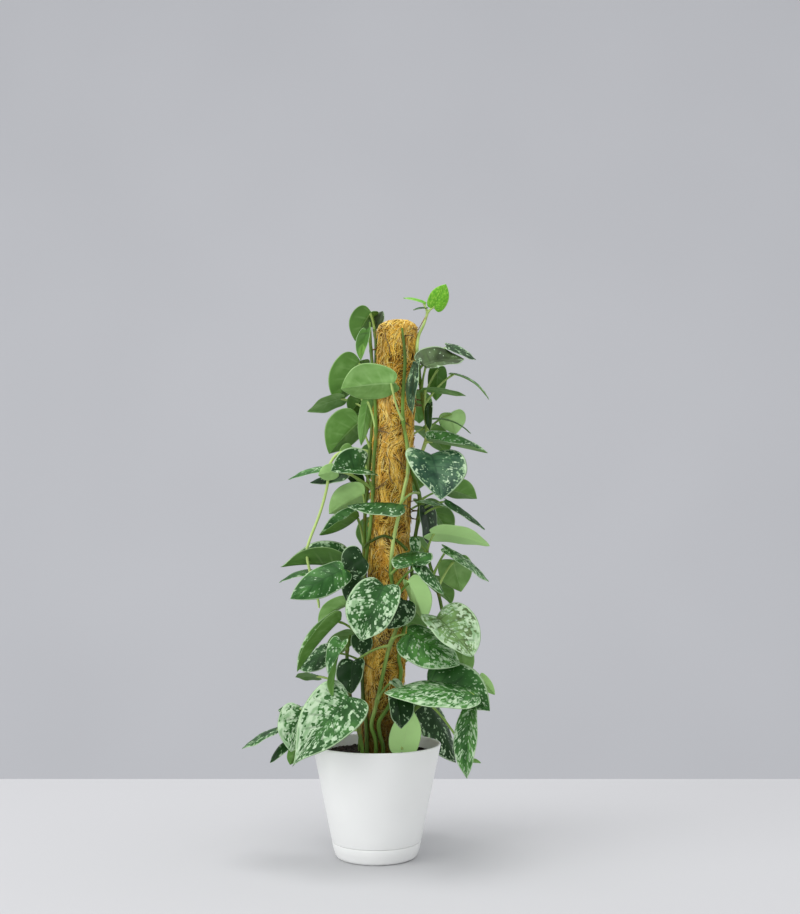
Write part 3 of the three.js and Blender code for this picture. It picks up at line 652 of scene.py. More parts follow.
@dataclass(frozen=True)
class View:
    """A 45 mm lens on a 36 mm sensor, level with the middle of the plant and tilted up a little."""

    lens_in_pixels: float = 1142.5
    middle_column: float = 400
    middle_row: float = 457
    tilt: float = 5.06 * DEGREE
    eye: tuple[float, float, float] = (27.5 * MM, -1377 * MM, 347.7 * MM)
    search_rounds: int = 4

    def seen_at(self, spot: tuple[float, float], toward: float) -> Vector:
        """Finds the point that shows at a spot of the picture.

        Args:
            spot: Column and row.
            toward: How far the point stands toward the viewer from the pot's axis.

        Returns:
            The point.
        """
        right = (spot[0] - self.middle_column) / self.lens_in_pixels
        up = (self.middle_row - spot[1]) / self.lens_in_pixels
        sine, cosine = math.sin(self.tilt), math.cos(self.tilt)
        ray = Vector((right, cosine - up * sine, sine + up * cosine))
        return Vector(self.eye) + ray * ((-toward - self.eye[1]) / ray.y)

    def row_of(self, point: Vector) -> float:
        """Gives the picture row at which a point shows.

        Args:
            point: The point.

        Returns:
            Its row.
        """
        away = point - Vector(self.eye)
        depth = away.y * math.cos(self.tilt) + away.z * math.sin(self.tilt)
        up = away.z * math.cos(self.tilt) - away.y * math.sin(self.tilt)
        return self.middle_row - self.lens_in_pixels * up / depth

    def on_pole(self, spot: tuple[float, float]) -> Vector:
        """Finds the point on the pole's surface, a stem's half thickness out, that shows at a spot.

        Args:
            spot: Column and row.

        Returns:
            The point.
        """
        toward = STEM_CLEAR
        for _ in range(self.search_rounds):
            seen = self.seen_at(spot, toward)
            aside = seen.x - pole_x(seen.z)
            toward = math.sqrt(max(0.0, STEM_CLEAR**2 - aside**2))
        return self.seen_at(spot, toward)


VIEW = View()


# Curves


class SmoothCurve:
    """A smooth curve through given points, the same as the solids' stems follow."""

    SAMPLES = 240

    def __init__(self, points: list[Vector]) -> None:
        """Keeps the points, in order."""
        self.points = points

    def at(self, share: float) -> Vector:
        """Gives a point of the curve.

        Args:
            share: From 0 at the first point to 1 at the last.

        Returns:
            The point.
        """
        spans = len(self.points) - 1
        index = min(int(share * spans), spans - 1)
        t = share * spans - index
        start = self.points[index]
        end = self.points[index + 1]
        before = self.points[index - 1] if index else 2 * start - end
        after = self.points[index + 2] if index + 2 <= spans else 2 * end - start
        leave = (end - before) / 2
        arrive = (after - start) / 2
        return (
            start * (2 * t**3 - 3 * t**2 + 1)
            + leave * (t**3 - 2 * t**2 + t)
            + end * (3 * t**2 - 2 * t**3)
            + arrive * (t**3 - t**2)
        )

    def nearest(self, miss) -> Vector:
        """Finds the point where a measure of points is closest to zero."""
        samples = (self.at(i / self.SAMPLES) for i in range(self.SAMPLES + 1))
        return min(samples, key=lambda point: abs(miss(point)))


def arch_curve(start: Vector, middle: Vector, end: Vector, steps: int) -> list[Vector]:
    """Gives points of a simple arch.

    Args:
        start: Its first point.
        middle: The point that pulls it.
        end: Its last point.
        steps: How many stretches it is split into.

    Returns:
        The points.
    """
    points = []
    for i in range(steps + 1):
        t = i / steps
        points.append(start * (1 - t) ** 2 + middle * (2 * t * (1 - t)) + end * t**2)
    return points


def add_tube(sheet: BMesh, points: list, radii: list, sides: int, looks: tuple | list = ()) -> None:
    """Adds a round tube with a changing thickness.

    Args:
        sheet: The mesh that it is added to.
        points: The middle line.
        radii: The radius at each point.
        sides: How many sides the tube has.
        looks: The "stem" colour at each point, for a mesh that has that layer.
    """
    curve = bpy.data.curves.new("tube", "CURVE")
    curve.dimensions = "3D"
    curve.bevel_depth = 1.0
    curve.bevel_resolution = max(0, sides // 2 - 2)
    curve.use_fill_caps = True
    spline = curve.splines.new("POLY")
    spline.points.add(len(points) - 1)
    for knot, point, radius in zip(spline.points, points, radii):
        knot.co = (*point, 1)
        knot.radius = radius
    carrier = bpy.data.objects.new("tube", curve)
    mesh = bpy.data.meshes.new_from_object(carrier)
    first = len(sheet.verts)
    sheet.from_mesh(mesh)
    if looks:
        layer = sheet.verts.layers.float_color["stem"]
        sheet.verts.ensure_lookup_table()
        ring = (len(sheet.verts) - first) // len(points)
        for number, vert in enumerate(sheet.verts[first:]):
            vert[layer] = looks[min(number // ring, len(points) - 1)]
    bpy.data.objects.remove(carrier)
    bpy.data.curves.remove(curve)
    bpy.data.meshes.remove(mesh)


# Leaves


class Hue(Enum):
    """A leaf's colouring: plain, hazed with silver, dulled by age, new and bright, or fresh."""

    GREEN = 0
    HAZED = 1
    OLIVE = 2
    NEW = 3
    FRESH = 4


@dataclass
class Leaf:
    """One leaf, placed by the spots of the photograph where it shows.

    Attributes:
        node: The picture row at which its stalk leaves the stem.
        joint: Where the blade starts, as column and row.
        tip: Where it ends.
        near: How far the two stand toward the viewer from the pot's axis.
        roll: Degrees that the upper face turns from the viewer to its upper side.
        wide: The blade's width.
        fold: Degrees that each half rises from the midrib.
        bend: Degrees that the midrib arches.
        twist: Degrees that the blade turns about its midrib toward the tip.
        cup: How far the rims droop, as a share of the half width.
        arch: How far the stalk arches, as a share of its length.
        belly: Above 0 the blade is widest near the joint, below 0 near the tip.
        notch: How far the lobes reach back.
        taper: How pointed the tip is.
        silver: The share of the upper face that is silver.
        shade: How light it is, from -0.35 (nearly black) over 0.5 to 1.3 (the palest underside): partly the
            leaf's own tone, partly painted shade on leaves deep in the foliage and painted light on some
            undersides.
        hue: Its colouring.
        gather: How much more silver the tip, the side that its across points to, and the rim have.
        on_shoot: Whether it grows on the trailing shoot.
    """

    node: float
    joint: tuple
    tip: tuple
    near: tuple
    roll: float = 0
    wide: float = 0.04
    fold: float = 14
    bend: float = 22
    twist: float = 0
    cup: float = 0.1
    arch: float = 0.16
    belly: float = 0.15
    notch: float = 0.3
    taper: float = 2
    silver: float = 0.4
    shade: float = 0.5
    hue: Hue = Hue.GREEN
    gather: tuple = (0.0, 0.0, 0.0)
    on_shoot: bool = False


@dataclass
class Blade:
    """A leaf in its place, with the fine surface that its solid only outlines."""

    leaf: Leaf
    start: Vector
    joint: Vector
    tip: Vector
    facing: Vector
    seed: float
    stalk_end: float = 60 * DEGREE
    rib_start: float = 50 * DEGREE
    rows: int = 30
    columns: int = 9
    rim_crowd: float = 1.35
    rib_crowd: float = 1.15
    fold_round: float = 0.08
    twist_from: float = 0.3
    wave: float = 1.1 * MM
    full_wave_width: float = 50 * MM
    quilt: float = 0.3 * MM
    groove: float = 0.35 * MM
    groove_width: float = 0.1
    stalk_steps: int = 10

    def __post_init__(self) -> None:
        """Works out the blade's own directions."""
        self.length = (self.tip - self.joint).length
        self.along = (self.tip - self.joint).normalized()
        face = (self.facing - self.along * self.facing.dot(self.along)).normalized()
        left = face.cross(self.along)
        upper = 1 if left.z >= 0 else -1
        roll = self.leaf.roll * DEGREE
        self.normal = face * math.cos(roll) + left * (upper * math.sin(roll))
        self.across = self.along.cross(self.normal)

    def edge_at(self, angle: float) -> tuple[float, float]:
        """Gives a point of the outline.

        Args:
            angle: From the notch at the stalk (0) round a lobe to the tip (pi).

        Returns:
            Its share of the length along the midrib, and of the half width out from it.
        """
        sine = max(0.0, math.sin(angle))
        cosine = math.cos(angle)
        outline = sine if angle < math.pi / 2 else sine**self.leaf.taper
        belly = self.leaf.belly
        along = (1 - cosine) / 2 - self.leaf.notch * sine * ((1 + cosine) / 2) ** 2
        return along, outline * (1 + belly * cosine) / (1 + 0.45 * belly**2)

    def point(self, angle: float, side: int, share: float, lift: float) -> Vector:
        """Gives a point of the blade.

        Args:
            angle: The outline angle at which its side vein ends.
            side: -1 or 1 for the two halves.
            share: From the midrib (0) to the rim (1).
            lift: Height over the blade's middle layer.

        Returns:
            The point.
        """
        leaf = self.leaf
        edge_along, edge_out = self.edge_at(angle)
        rib_share = max(0.0, (angle - self.rib_start) / (math.pi - self.rib_start)) ** self.rib_crowd
        along = rib_share * (1 - share) + edge_along * share
        out = share * edge_out * leaf.wide / 2
        bend = math.copysign(max(1, abs(leaf.bend)), leaf.bend) * DEGREE
        bend_radius = self.length / (2 * math.sin(bend / 2))
        phase = bend * (along - 0.5)
        twist = leaf.twist * DEGREE * (along - self.twist_from)
        rib = (
            self.joint
            + self.along * (bend_radius * math.sin(phase) + self.length / 2)
            + self.normal * (bend_radius * (math.cos(phase) - math.cos(bend / 2)))
        )
        straight_up = self.normal * math.cos(phase) + self.along * math.sin(phase)
        up = straight_up * math.cos(twist) + self.across * math.sin(twist)
        aside = self.across * math.cos(twist) - straight_up * math.sin(twist)
        fold = leaf.fold * DEGREE * min(1.0, share / self.fold_round)
        outward = aside * (side * math.cos(fold)) + up * math.sin(fold)
        surface = up * math.cos(fold) - aside * (side * math.sin(fold))
        droop = leaf.cup * share**2 * edge_out * leaf.wide / 2
        return rib + outward * out + surface * (lift - droop)

    def relief(self, angle: float, side: int, share: float) -> float:
        """Gives the fine rise and fall of both faces: waved rims, and quilting between side veins.

        Args:
            angle: The outline angle at which the side vein ends.
            side: -1 or 1 for the two halves.
            share: From the midrib (0) to the rim (1).

        Returns:
            The height over the middle layer.
        """
        size = min(1.0, self.leaf.wide / self.full_wave_width)
        turn = self.seed * TURN + side
        rim = math.sin(3.1 * angle + turn) + 0.6 * math.sin(7.3 * angle + 2 * turn)
        waved = self.wave * size * rim * share**3 * math.sin(angle)
        veins = math.sin(TURN * angle / math.pi * self.length / VEIN_SPACING)
        return waved + self.quilt * size * veins * share * (1 - share) * 4

    def add_face(self, sheet: BMesh, face: int) -> None:
        """Adds one face of the blade.

        Args:
            sheet: The mesh that it is added to, with its layers.
            face: 1 for the upper face, -1 for the underside.
        """
        veins = sheet.loops.layers.uv["veins"]
        look = sheet.verts.layers.float_color["leaf"]
        made = bmesh.ops.create_grid(sheet, x_segments=self.rows, y_segments=2 * self.columns, size=1)
        places = {}
        for vert in made["verts"]:
            angle = (vert.co.x + 1) / 2 * math.pi
            side = 1 if vert.co.y >= 0 else -1
            share = 1 - (1 - min(1.0, abs(vert.co.y))) ** self.rim_crowd
            places[vert] = (angle, side, share)
        underside = face < 0 and self.leaf.hue is not Hue.NEW
        for polygon in {polygon for vert in places for polygon in vert.link_faces}:
            polygon.material_index = len(Hue) if underside else self.leaf.hue.value
            polygon.smooth = True
            if face > 0:
                polygon.normal_flip()
            for loop in polygon.loops:
                angle, side, share = places[loop.vert]
                loop[veins].uv = (angle / math.pi * self.length, side * share * self.leaf.wide / 2)
        for vert, (angle, side, share) in places.items():
            where = (2 * angle / math.pi - 1, side * share, 2 * share - 1)
            silver = self.leaf.silver + sum(g * w for g, w in zip(self.leaf.gather, where))
            vert[look] = (self.seed, silver, self.leaf.shade, share)
            if self.edge_at(angle)[1] < 1e-6:
                vert.co = self.point(angle, side, 0, 0)
                continue
            body = face * BLADE_THICKNESS / 2 * (1 - share**4)
            groove = self.groove * max(0.0, 1 - share / self.groove_width)
            lift = body - groove + self.relief(angle, side, share)
            vert.co = self.point(angle, side, share, lift)

    def stalk(self) -> list[Vector]:
        """Gives the stalk's middle line, from the stem to the midrib's foot.

        Returns:
            Its points.
        """
        end = self.point(self.stalk_end, 1, 0, -0.4 * STALK_RADIUS)
        middle = (self.start + end) / 2
        middle.z += self.leaf.arch * (end - self.start).length
        return arch_curve(self.start, middle, end, self.stalk_steps)


@dataclass
class VinePlan:
    """A stem and what grows on it, by spots of the photograph.

    Attributes:
        stem: Its spots as column, row and how far it stands toward the viewer. A spot with no
            third value lies on the pole.
        leaves: Its leaves.
        youth_and_shade: How fresh and light the stem's skin is (0 to 1) at some picture rows, from the soil
            up: partly its age, partly painted shade where the stem lies in shade.
        shoot: A thin side shoot, by spots as the stem's.
        shoot_youth: How fresh the shoot's skin is.
    """

    stem: list
    leaves: list
    youth_and_shade: tuple
    shoot: list = field(default_factory=list)
    shoot_youth: float = 0.9


# The stems that the photograph shows

FRONT_LEFT = VinePlan(
    stem=[
        (367, 748), (366, 722), (363, 695), (362, 650), (363, 600), (365, 575), (367, 552),
        (370, 530), (373, 490), (374, 460), (376, 430), (374, 385), (371, 350), (370, 322),
    ],
    leaves=[
        Leaf(350, (367, 330), (361, 361), (.026, .034), roll=40, wide=.02, fold=25, silver=0,
             shade=0.5, hue=Hue.FRESH),
        Leaf(430, (368, 399), (361, 446), (.016, .012), roll=170, wide=.016, fold=10, shade=0.55),
        Leaf(490, (363, 469), (331, 471), (.04, .068),
             roll=38, wide=.05, fold=38, notch=0.6, silver=0.18, shade=0.4),
        Leaf(490, (337, 471), (318, 475), (.054, .062), roll=168, wide=.02, shade=0.75),
        Leaf(580, (363, 557), (344, 571), (.036, .014), roll=10, wide=.04, silver=0.05, shade=-0.3),
        Leaf(585, (344, 569), (290, 599), (.046, .066), roll=25, wide=.04, fold=-8,
             silver=0.09, shade=0.5),
        Leaf(590, (360, 577), (346, 601), (.034, .026), roll=20, wide=.032, silver=0.08, shade=-0.3),
        Leaf(600, (384, 586), (361, 641), (.066, .084),
             roll=24, wide=.064, fold=20, belly=0, silver=0.33, shade=0.38, gather=(0.1, 0, 0.1)),
        Leaf(612, (349, 602), (318, 623), (.02, .002),
             roll=139, wide=.027, fold=41, belly=-0.1, shade=0.6),
        Leaf(640, (341, 619), (297, 672), (.044, .052),
             roll=84, wide=.048, fold=44, bend=14, silver=0.12, shade=0.5, hue=Hue.FRESH),
        Leaf(
            662, (332, 652), (299, 669), (.026, .018), roll=56, wide=.046, fold=2, silver=0.25,
            shade=0.35,
        ),
        Leaf(665, (360, 635), (364, 657), (.026, .032), roll=15, wide=.026, silver=0.06, shade=-0.35),
    ],
    youth_and_shade=((748, 0.25), (690, 0.05), (640, 0.3), (565, 0.25), (520, 0.5), (430, 0.35)),
)
LEFT = VinePlan(
    stem=[
        (360, 748, -.014), (363, 690, -.014), (364, 600, -.014), (364, 545, -.011),
        (365, 515, -.009), (371, 440, -.012), (375, 380, -.015), (376, 345, -.015),
        (374, 326, -.016), (372, 315, -.009),
    ],
    shoot=[
        (372, 452, -.014), (356, 450, -.01), (338, 454, 0), (329, 467, .004), (327, 487, .006),
        (320, 513, .008), (309, 542, .01), (307, 556, .008), (312, 580, .004), (318, 600, .002),
        (319, 608, .002),
    ],
    leaves=[
        Leaf(330, (371, 312), (355, 341), (-.006, -.02), roll=150, wide=.038, fold=30, shade=0.38),
        Leaf(335, (374, 327), (383, 311), (-.016, -.022), roll=20, wide=.016, silver=0,
             shade=0.1, hue=Hue.OLIVE),
        Leaf(385, (360, 361), (336, 404), (-.012, -.03), roll=150, wide=.052, fold=30, shade=0.5),
        Leaf(415, (343, 398), (307, 412), (-.02, -.018), roll=114, wide=.044, fold=0, shade=0.58),
        Leaf(420, (362, 398), (350, 414), (-.014, -.018), roll=160, wide=.028, shade=0.3),
        Leaf(450, (360, 421), (329, 454), (-.008, -.03), roll=150, wide=.058, fold=30, shade=0.5),
        Leaf(470, (352, 447), (341, 461), (-.016, -.02), roll=160, wide=.02, shade=0.6),
        Leaf(
            490, (347, 471), (310, 483), (-.006, -.012), roll=67, wide=.034, fold=-11, silver=0.05,
            shade=0.2,
        ),
        Leaf(495, (350, 473), (365, 487), (-.02, -.024), roll=30, wide=.02, silver=0.03, shade=-0.3),
        Leaf(510, (365, 493), (329, 514), (-.008, -.026),
             roll=150, wide=.042, fold=30, belly=0, shade=0.8),
        Leaf(545, (359, 516), (319, 535), (-.004, .002),
             roll=73, wide=.046, fold=49, bend=-45, silver=0.1, shade=0.45),
        Leaf(585, (341, 567), (280, 567), (0, -.004),
             roll=78, wide=.066, fold=56, belly=0.4, taper=3, silver=0.25, shade=0.3),
        Leaf(590, (312, 571), (279, 583), (-.008, -.012),
             roll=75, wide=.024, fold=0, bend=40, silver=0.1, shade=0.6),
        Leaf(467, (325, 468), (288, 480), (.008, .012),
             roll=74, wide=.024, fold=4, on_shoot=True, silver=0.15, shade=0.6),
    ],
    youth_and_shade=((748, 0.25), (530, 0.35), (440, 0.3)),
)
FRONT_RIGHT = VinePlan(
    stem=[
        (376, 748), (375, 738), (371.5, 725), (375.5, 708), (380, 688), (386, 660), (390, 645),
        (397, 625), (396, 600), (391, 575), (393, 543), (400, 510), (404, 490), (408, 470),
        (407, 445), (403, 420), (403, 395), (405, 363), (404, 345), (402, 328),
    ],
    shoot=[
        (407, 550), (402, 545), (396, 540), (391, 538), (384, 536), (377, 538), (372, 541, .02),
        (368, 543, .0205), (364, 548, .015),
    ],
    leaves=[
        Leaf(420, (394, 383), (341, 389), (.052, .042),
             roll=154, wide=.052, fold=26, belly=-0.25, arch=-0.25, shade=0.6),
        Leaf(468, (431, 455), (441, 500), (.024, .076),
             roll=21, wide=.074, fold=21, bend=30, silver=0.15, shade=0.35,
             gather=(-0.08, 0, 0.2), hue=Hue.HAZED),
        Leaf(575, (413, 565), (411, 551), (.078, .032), roll=0, wide=.048, fold=4, silver=0.12, shade=0.35),
        Leaf(
            590, (421, 562), (444, 595), (.066, .076), roll=67, wide=.04, fold=-12, silver=0.3,
            shade=0.45,
        ),
        Leaf(600, (408, 581), (424, 622), (.042, .044), roll=131, wide=.042, fold=25, shade=1.3),
        Leaf(625, (403, 600), (388, 629), (.036, .04), roll=20, wide=.046, silver=0.2, shade=-0.25),
        Leaf(640, (407, 634), (460, 665), (.058, .066), roll=41, wide=.062, fold=-8,
             silver=0.3, shade=0.65, gather=(0.3, 0, 0)),
        Leaf(
            645, (354, 661), (351, 694), (.047, .056), roll=35, wide=.04, fold=20, silver=0.06,
            shade=-0.35,
        ),
        Leaf(700, (392, 681), (402, 690), (.046, .05), roll=60, wide=.02, silver=1),
    ],
    youth_and_shade=((748, 0.4), (665, 0.55), (565, 0.45), (535, 0.95), (500, 0.8), (440, 0.8),
           (410, 0.4), (328, 0.3)),
    shoot_youth=0.2,
)
RIGHT = VinePlan(
    stem=[
        (383, 748), (380, 735), (379, 722), (387, 709), (397, 690), (401, 672), (399, 655),
        (405, 625), (411, 600), (412, 570), (414, 545), (418, 520), (420, 500), (416, 483),
        (412.5, 470), (420, 457), (427, 436), (426, 420), (422, 395), (419, 370), (417, 350),
        (418.5, 336, .008), (424, 324, .008), (428, 311, .008),
    ],
    leaves=[
        Leaf(312, (434, 308), (446, 284), (.01, .014), roll=0, wide=.024, fold=5, hue=Hue.NEW),
        Leaf(314, (427, 308), (413, 310), (.008, .008), roll=80, wide=.01, arch=0, silver=0, shade=0.3),
        Leaf(312, (425, 303), (403, 298), (.006, .006), roll=60, wide=.007, arch=0, hue=Hue.NEW),
        Leaf(390, (424, 366), (464, 359), (.034, .006), roll=60, wide=.052, fold=23,
             silver=0.04, shade=0.25, hue=Hue.OLIVE),
        Leaf(370, (447, 346), (476, 360), (0, -.01), roll=72, wide=.03, fold=5, silver=0.2, shade=0.1),
        Leaf(385, (416, 363), (413, 415), (.053, .055), roll=73, wide=.044, fold=8,
             silver=0.15, shade=0.1, hue=Hue.HAZED),
        Leaf(400, (438, 368), (436, 401), (-.006, -.014), roll=180, wide=.024, shade=0.45),
        Leaf(410, (423, 389), (466, 396), (.014, -.002), roll=106, wide=.03, fold=0, shade=0.55),
        Leaf(405, (452, 373), (489, 400), (-.008, -.014),
             roll=98, wide=.016, fold=-8, bend=62, shade=0.65),
        Leaf(420, (430, 404), (430, 431), (.022, .022), roll=50, wide=.016, silver=0.05, shade=0),
        Leaf(430, (451, 413), (456, 434), (-.02, -.036), roll=180, wide=.034, shade=0.85),
        Leaf(435, (427, 420), (471, 434), (.004, -.006), roll=90, wide=.014, bend=60, silver=0.1),
        Leaf(445, (429, 441), (488, 453), (.018, .006),
             roll=75, wide=.046, fold=30, bend=4, silver=0.25, shade=0.55),
        Leaf(494, (403, 505), (347, 506), (.058, .05), roll=74, wide=.052, fold=-12,
             silver=0.15, shade=0.38, gather=(0.08, 0, 0.06)),
        Leaf(500, (446, 489), (477, 499), (.004, -.02), roll=140, wide=.036, fold=26, shade=0.5),
        Leaf(510, (447, 500), (485, 530), (.006, 0), roll=80, wide=.036, fold=-7, silver=0.12, shade=0.35),
        Leaf(520, (444, 506), (416, 502), (.024, .032), roll=80, wide=.026, fold=8, silver=0.5),
        Leaf(
            540, (424, 506), (429, 546), (.002, -.012), roll=64, wide=.046, fold=10, silver=0.04,
            shade=0.1,
        ),
    ],
    youth_and_shade=((748, 0.35), (475, 0.35), (455, 0.85), (436, 0.7), (415, 0.35), (365, 0.45), (340, 0.85),
           (311, 0.95)),
)
LOW_LEFT = VinePlan(
    stem=[
        (362, 748, .05), (357, 722, .054), (350, 695, .048), (347, 655, .034), (350, 635, .026),
    ],
    leaves=[
        Leaf(650, (342, 642), (333, 698), (.072, .084),
             roll=60, wide=.032, fold=35, twist=100, silver=0.25, shade=0.5),
        Leaf(690, (318, 676), (295, 677), (.04, .034), roll=105, wide=.036, fold=0, shade=0.35),
        Leaf(705, (349, 697), (292, 767), (.084, .104),
             roll=25, wide=.07, fold=14, belly=0.5, taper=3, silver=0.54, shade=0.42,
             gather=(0.12, 0.42, 0.1)),
        Leaf(712, (300, 714), (278, 710), (.062, .06), roll=40, wide=.022, silver=0.15, shade=0.2),
        Leaf(715, (300, 707), (291, 752), (.068, .076), roll=10, wide=.044, fold=0, silver=0.75),
        Leaf(720, (279, 729), (242, 749), (.048, .044), roll=79, wide=.042, fold=3, silver=0.15, shade=0.3),
        Leaf(725, (289, 744), (270, 763), (.05, .042), roll=50, wide=.016, fold=0,
             bend=40, silver=0.12, shade=0.2),
        Leaf(730, (295, 749), (290, 765), (.066, .07), roll=180, wide=.014, shade=0.3),
    ],
    youth_and_shade=((748, 0.3), (690, 0.15), (640, 0.3)),
)
LOW_RIGHT = VinePlan(
    stem=[
        (398, 748, .036), (407, 718, .038), (428, 697, .034), (440, 670, .022), (446, 640, .014),
        (440, 600, .008), (430, 565, .006), (427, 549, .008),
    ],
    leaves=[
        Leaf(550, (431, 533), (490, 546), (.024, .008), roll=116, wide=.05, fold=8, shade=1.05),
        Leaf(555, (414, 538), (415, 554), (.014, .018), roll=30, wide=.016, silver=0.4),
        Leaf(575, (445, 548), (489, 582), (.016, .006), roll=75, wide=.04, fold=0, silver=0.35),
        Leaf(590, (453, 560), (461, 592), (0, -.024), roll=180, wide=.042, shade=0.6),
        Leaf(625, (437, 617), (472, 657), (.046, .084),
             roll=33, wide=.066, fold=32, taper=1.3, silver=0.5, shade=0.62,
             gather=(0, 0, 0.22), hue=Hue.OLIVE),
        Leaf(655, (462, 648), (465, 680), (.036, .03), roll=180, wide=.027, shade=0.6),
        Leaf(680, (428, 684), (490, 711), (.05, .074), roll=37, wide=.07, fold=37, belly=0,
             silver=0.05, shade=0.5, gather=(0.08, 0, 0.08)),
        Leaf(685, (480, 676), (495, 695), (.038, .044), roll=180, wide=.013, shade=0.75),
        Leaf(690, (479, 696), (384, 693), (.084, .098),
             roll=66, wide=.072, fold=-2, belly=0, notch=0.1, silver=0.4, shade=0.6),
        Leaf(700, (473, 702), (467, 779), (.084, .09),
             roll=44, wide=.036, fold=19, belly=-0.1, notch=0.1, silver=0.3, shade=0.6),
        Leaf(
            700, (425, 700), (456, 763), (-.062, -.084), roll=48, wide=.057, fold=-17, silver=0.2,
            shade=-0.1,
        ),
        Leaf(
            712, (396, 694), (401, 729), (.068, .072), roll=40, wide=.038, fold=22, silver=0.08,
            shade=-0.25,
        ),
        Leaf(740, (402, 752), (411, 708), (.048, .044), roll=180, wide=.036, shade=1.1),
        Leaf(700, (470, 761), (481, 763), (.06, .06), roll=120, wide=.01, shade=0.6),
    ],
    youth_and_shade=((748, 0.4), (600, 0.3)),
)

PHOTO_STEMS = {
    "vine_front_left": FRONT_LEFT,
    "vine_left": LEFT,
    "vine_front_right": FRONT_RIGHT,
    "vine_right": RIGHT,
    "vine_low_left": LOW_LEFT,
    "vine_low_right": LOW_RIGHT,
}


# Vines


@dataclass(frozen=True)
class VineFinishes:
    """The materials that every vine shares."""

    uppers: dict[Hue, Material]
    underside: Material
    skin: Material


def level_at(row: float, levels: tuple) -> float:
    """Reads a value that is given at some picture rows.

    Args:
        row: The picture row.
        levels: Rows from the soil up and their values.

    Returns:
        The value, blended between the two nearest rows.
    """
    for (low, first), (high, second) in zip(levels, levels[1:]):
        if row >= high:
            share = min(1.0, max(0.0, (low - row) / (low - high)))
            return first + (second - first) * share
    return levels[-1][1]


@dataclass
class Vine:
    """A leafy stem: the stem, its leaf stalks and its blades."""

    name: str
    curve: SmoothCurve
    blades: list[Blade]
    shoot: SmoothCurve | None = None
    youth_and_shade: tuple = ((748, 0.4),)
    shoot_youth: float = 0.9
    stem_rings: int = 130
    stem_sides: int = 8
    stalk_sides: int = 6
    node_swell: float = 0.3
    node_length: float = 5 * MM
    taper: float = 0.15
    tip_from: float = 0.92
    tip_slim: float = 0.3
    stalk_waist: float = 0.85
    sheath_swell: float = 0.5
    sheath_length: float = 0.3
    knee_swell: float = 0.25
    knee_place: float = 0.9
    knee_length: float = 0.07
    stalk_youth: float = 0.55
    stalk_spread: float = 0.3
    weld: float = 0.002 * MM

    def build(self) -> None:
        """Makes the blades' mesh and the stems' mesh."""
        self.leaves = bmesh.new()
        self.leaves.loops.layers.uv.new("veins")
        self.leaves.verts.layers.float_color.new("leaf")
        for blade in self.blades:
            blade.add_face(self.leaves, 1)
            blade.add_face(self.leaves, -1)
        bmesh.ops.remove_doubles(self.leaves, verts=self.leaves.verts, dist=self.weld)
        self.stems = bmesh.new()
        self.stems.verts.layers.float_color.new("stem")
        self.add_stem(self.curve, STEM_RADIUS, self.youth_and_shade)
        if self.shoot:
            self.add_stem(self.shoot, SHOOT_RADIUS, ((748, self.shoot_youth),))
        for blade in self.blades:
            self.add_stalk(blade)

    def add_stem(self, curve: SmoothCurve, radius: float, youth_and_shade: tuple) -> None:
        """Adds a stem with a ring and a slight swelling at each node.

        Args:
            curve: The stem's middle line.
            radius: Its plain radius.
            youth_and_shade: How fresh and light its skin is, by picture rows: partly its age, partly
                painted shade.
        """
        points = [curve.at(i / self.stem_rings) for i in range(self.stem_rings + 1)]
        radii = []
        looks = []
        for number, point in enumerate(points):
            near = min((blade.start - point).length for blade in self.blades)
            ring = max(0.0, 1 - near / self.node_length)
            tip = number / self.stem_rings
            slim = max(0.0, (tip - self.tip_from) / (1 - self.tip_from))
            swell = 1 + self.node_swell * ring
            radii.append(radius * swell * (1 - self.taper * tip - self.tip_slim * slim))
            looks.append((level_at(VIEW.row_of(point), youth_and_shade), ring**3, 0.0, 1.0))
        add_tube(self.stems, points, radii, self.stem_sides, looks)

    def add_stalk(self, blade: Blade) -> None:
        """Adds a leaf stalk, with a sheath at its foot and a knee under the blade.

        Args:
            blade: The leaf.
        """
        points = blade.stalk()
        radii = []
        for number in range(len(points)):
            share = number / (len(points) - 1)
            sheath = self.sheath_swell * max(0.0, 1 - share / self.sheath_length)
            knee = self.knee_swell * math.exp(-(((share - self.knee_place) / self.knee_length) ** 2))
            radii.append(STALK_RADIUS * (self.stalk_waist + sheath + knee))
        look = (self.stalk_youth + self.stalk_spread * blade.seed, 0.0, 0.0, 1.0)
        add_tube(self.stems, points, radii, self.stalk_sides, [look] * len(points))

    def dress(self, finishes: VineFinishes) -> None:
        """Turns the meshes into pieces with their materials.

        Args:
            finishes: The materials that vines share.
        """
        uppers = [finishes.uppers[hue] for hue in Hue]
        leaves = smooth_object(f"{self.name}_blades", self.leaves, *uppers, finishes.underside)
        stems = smooth_object(f"{self.name}_stems", self.stems, finishes.skin)
        for piece in (leaves, stems):
            settle(piece, "leafy_stem", self.name)


def stem_curve(spots: list[tuple]) -> SmoothCurve:
    """Turns spots of the photograph into a curve.

    Args:
        spots: The spots of a stem.

    Returns:
        The curve.
    """
    points = []
    for spot in spots:
        on_pole = len(spot) == 2
        points.append(VIEW.on_pole(spot) if on_pole else VIEW.seen_at(spot[:2], spot[2]))
    return SmoothCurve(points)


def root_stem(curve: SmoothCurve) -> SmoothCurve:
    """Leads a stem down into the soil.

    Args:
        curve: The stem over the soil, whose first point is raised clear of it.

    Returns:
        The curve with its buried end.
    """
    above = curve.points[0]
    above.z = max(above.z, SOIL_TOP + STEM_FOOT)
    buried = [Vector((above.x, above.y, SOIL_TOP + depth)) for depth in (-ROOT_DEPTH, 5 * MM)]
    return SmoothCurve(buried + curve.points)


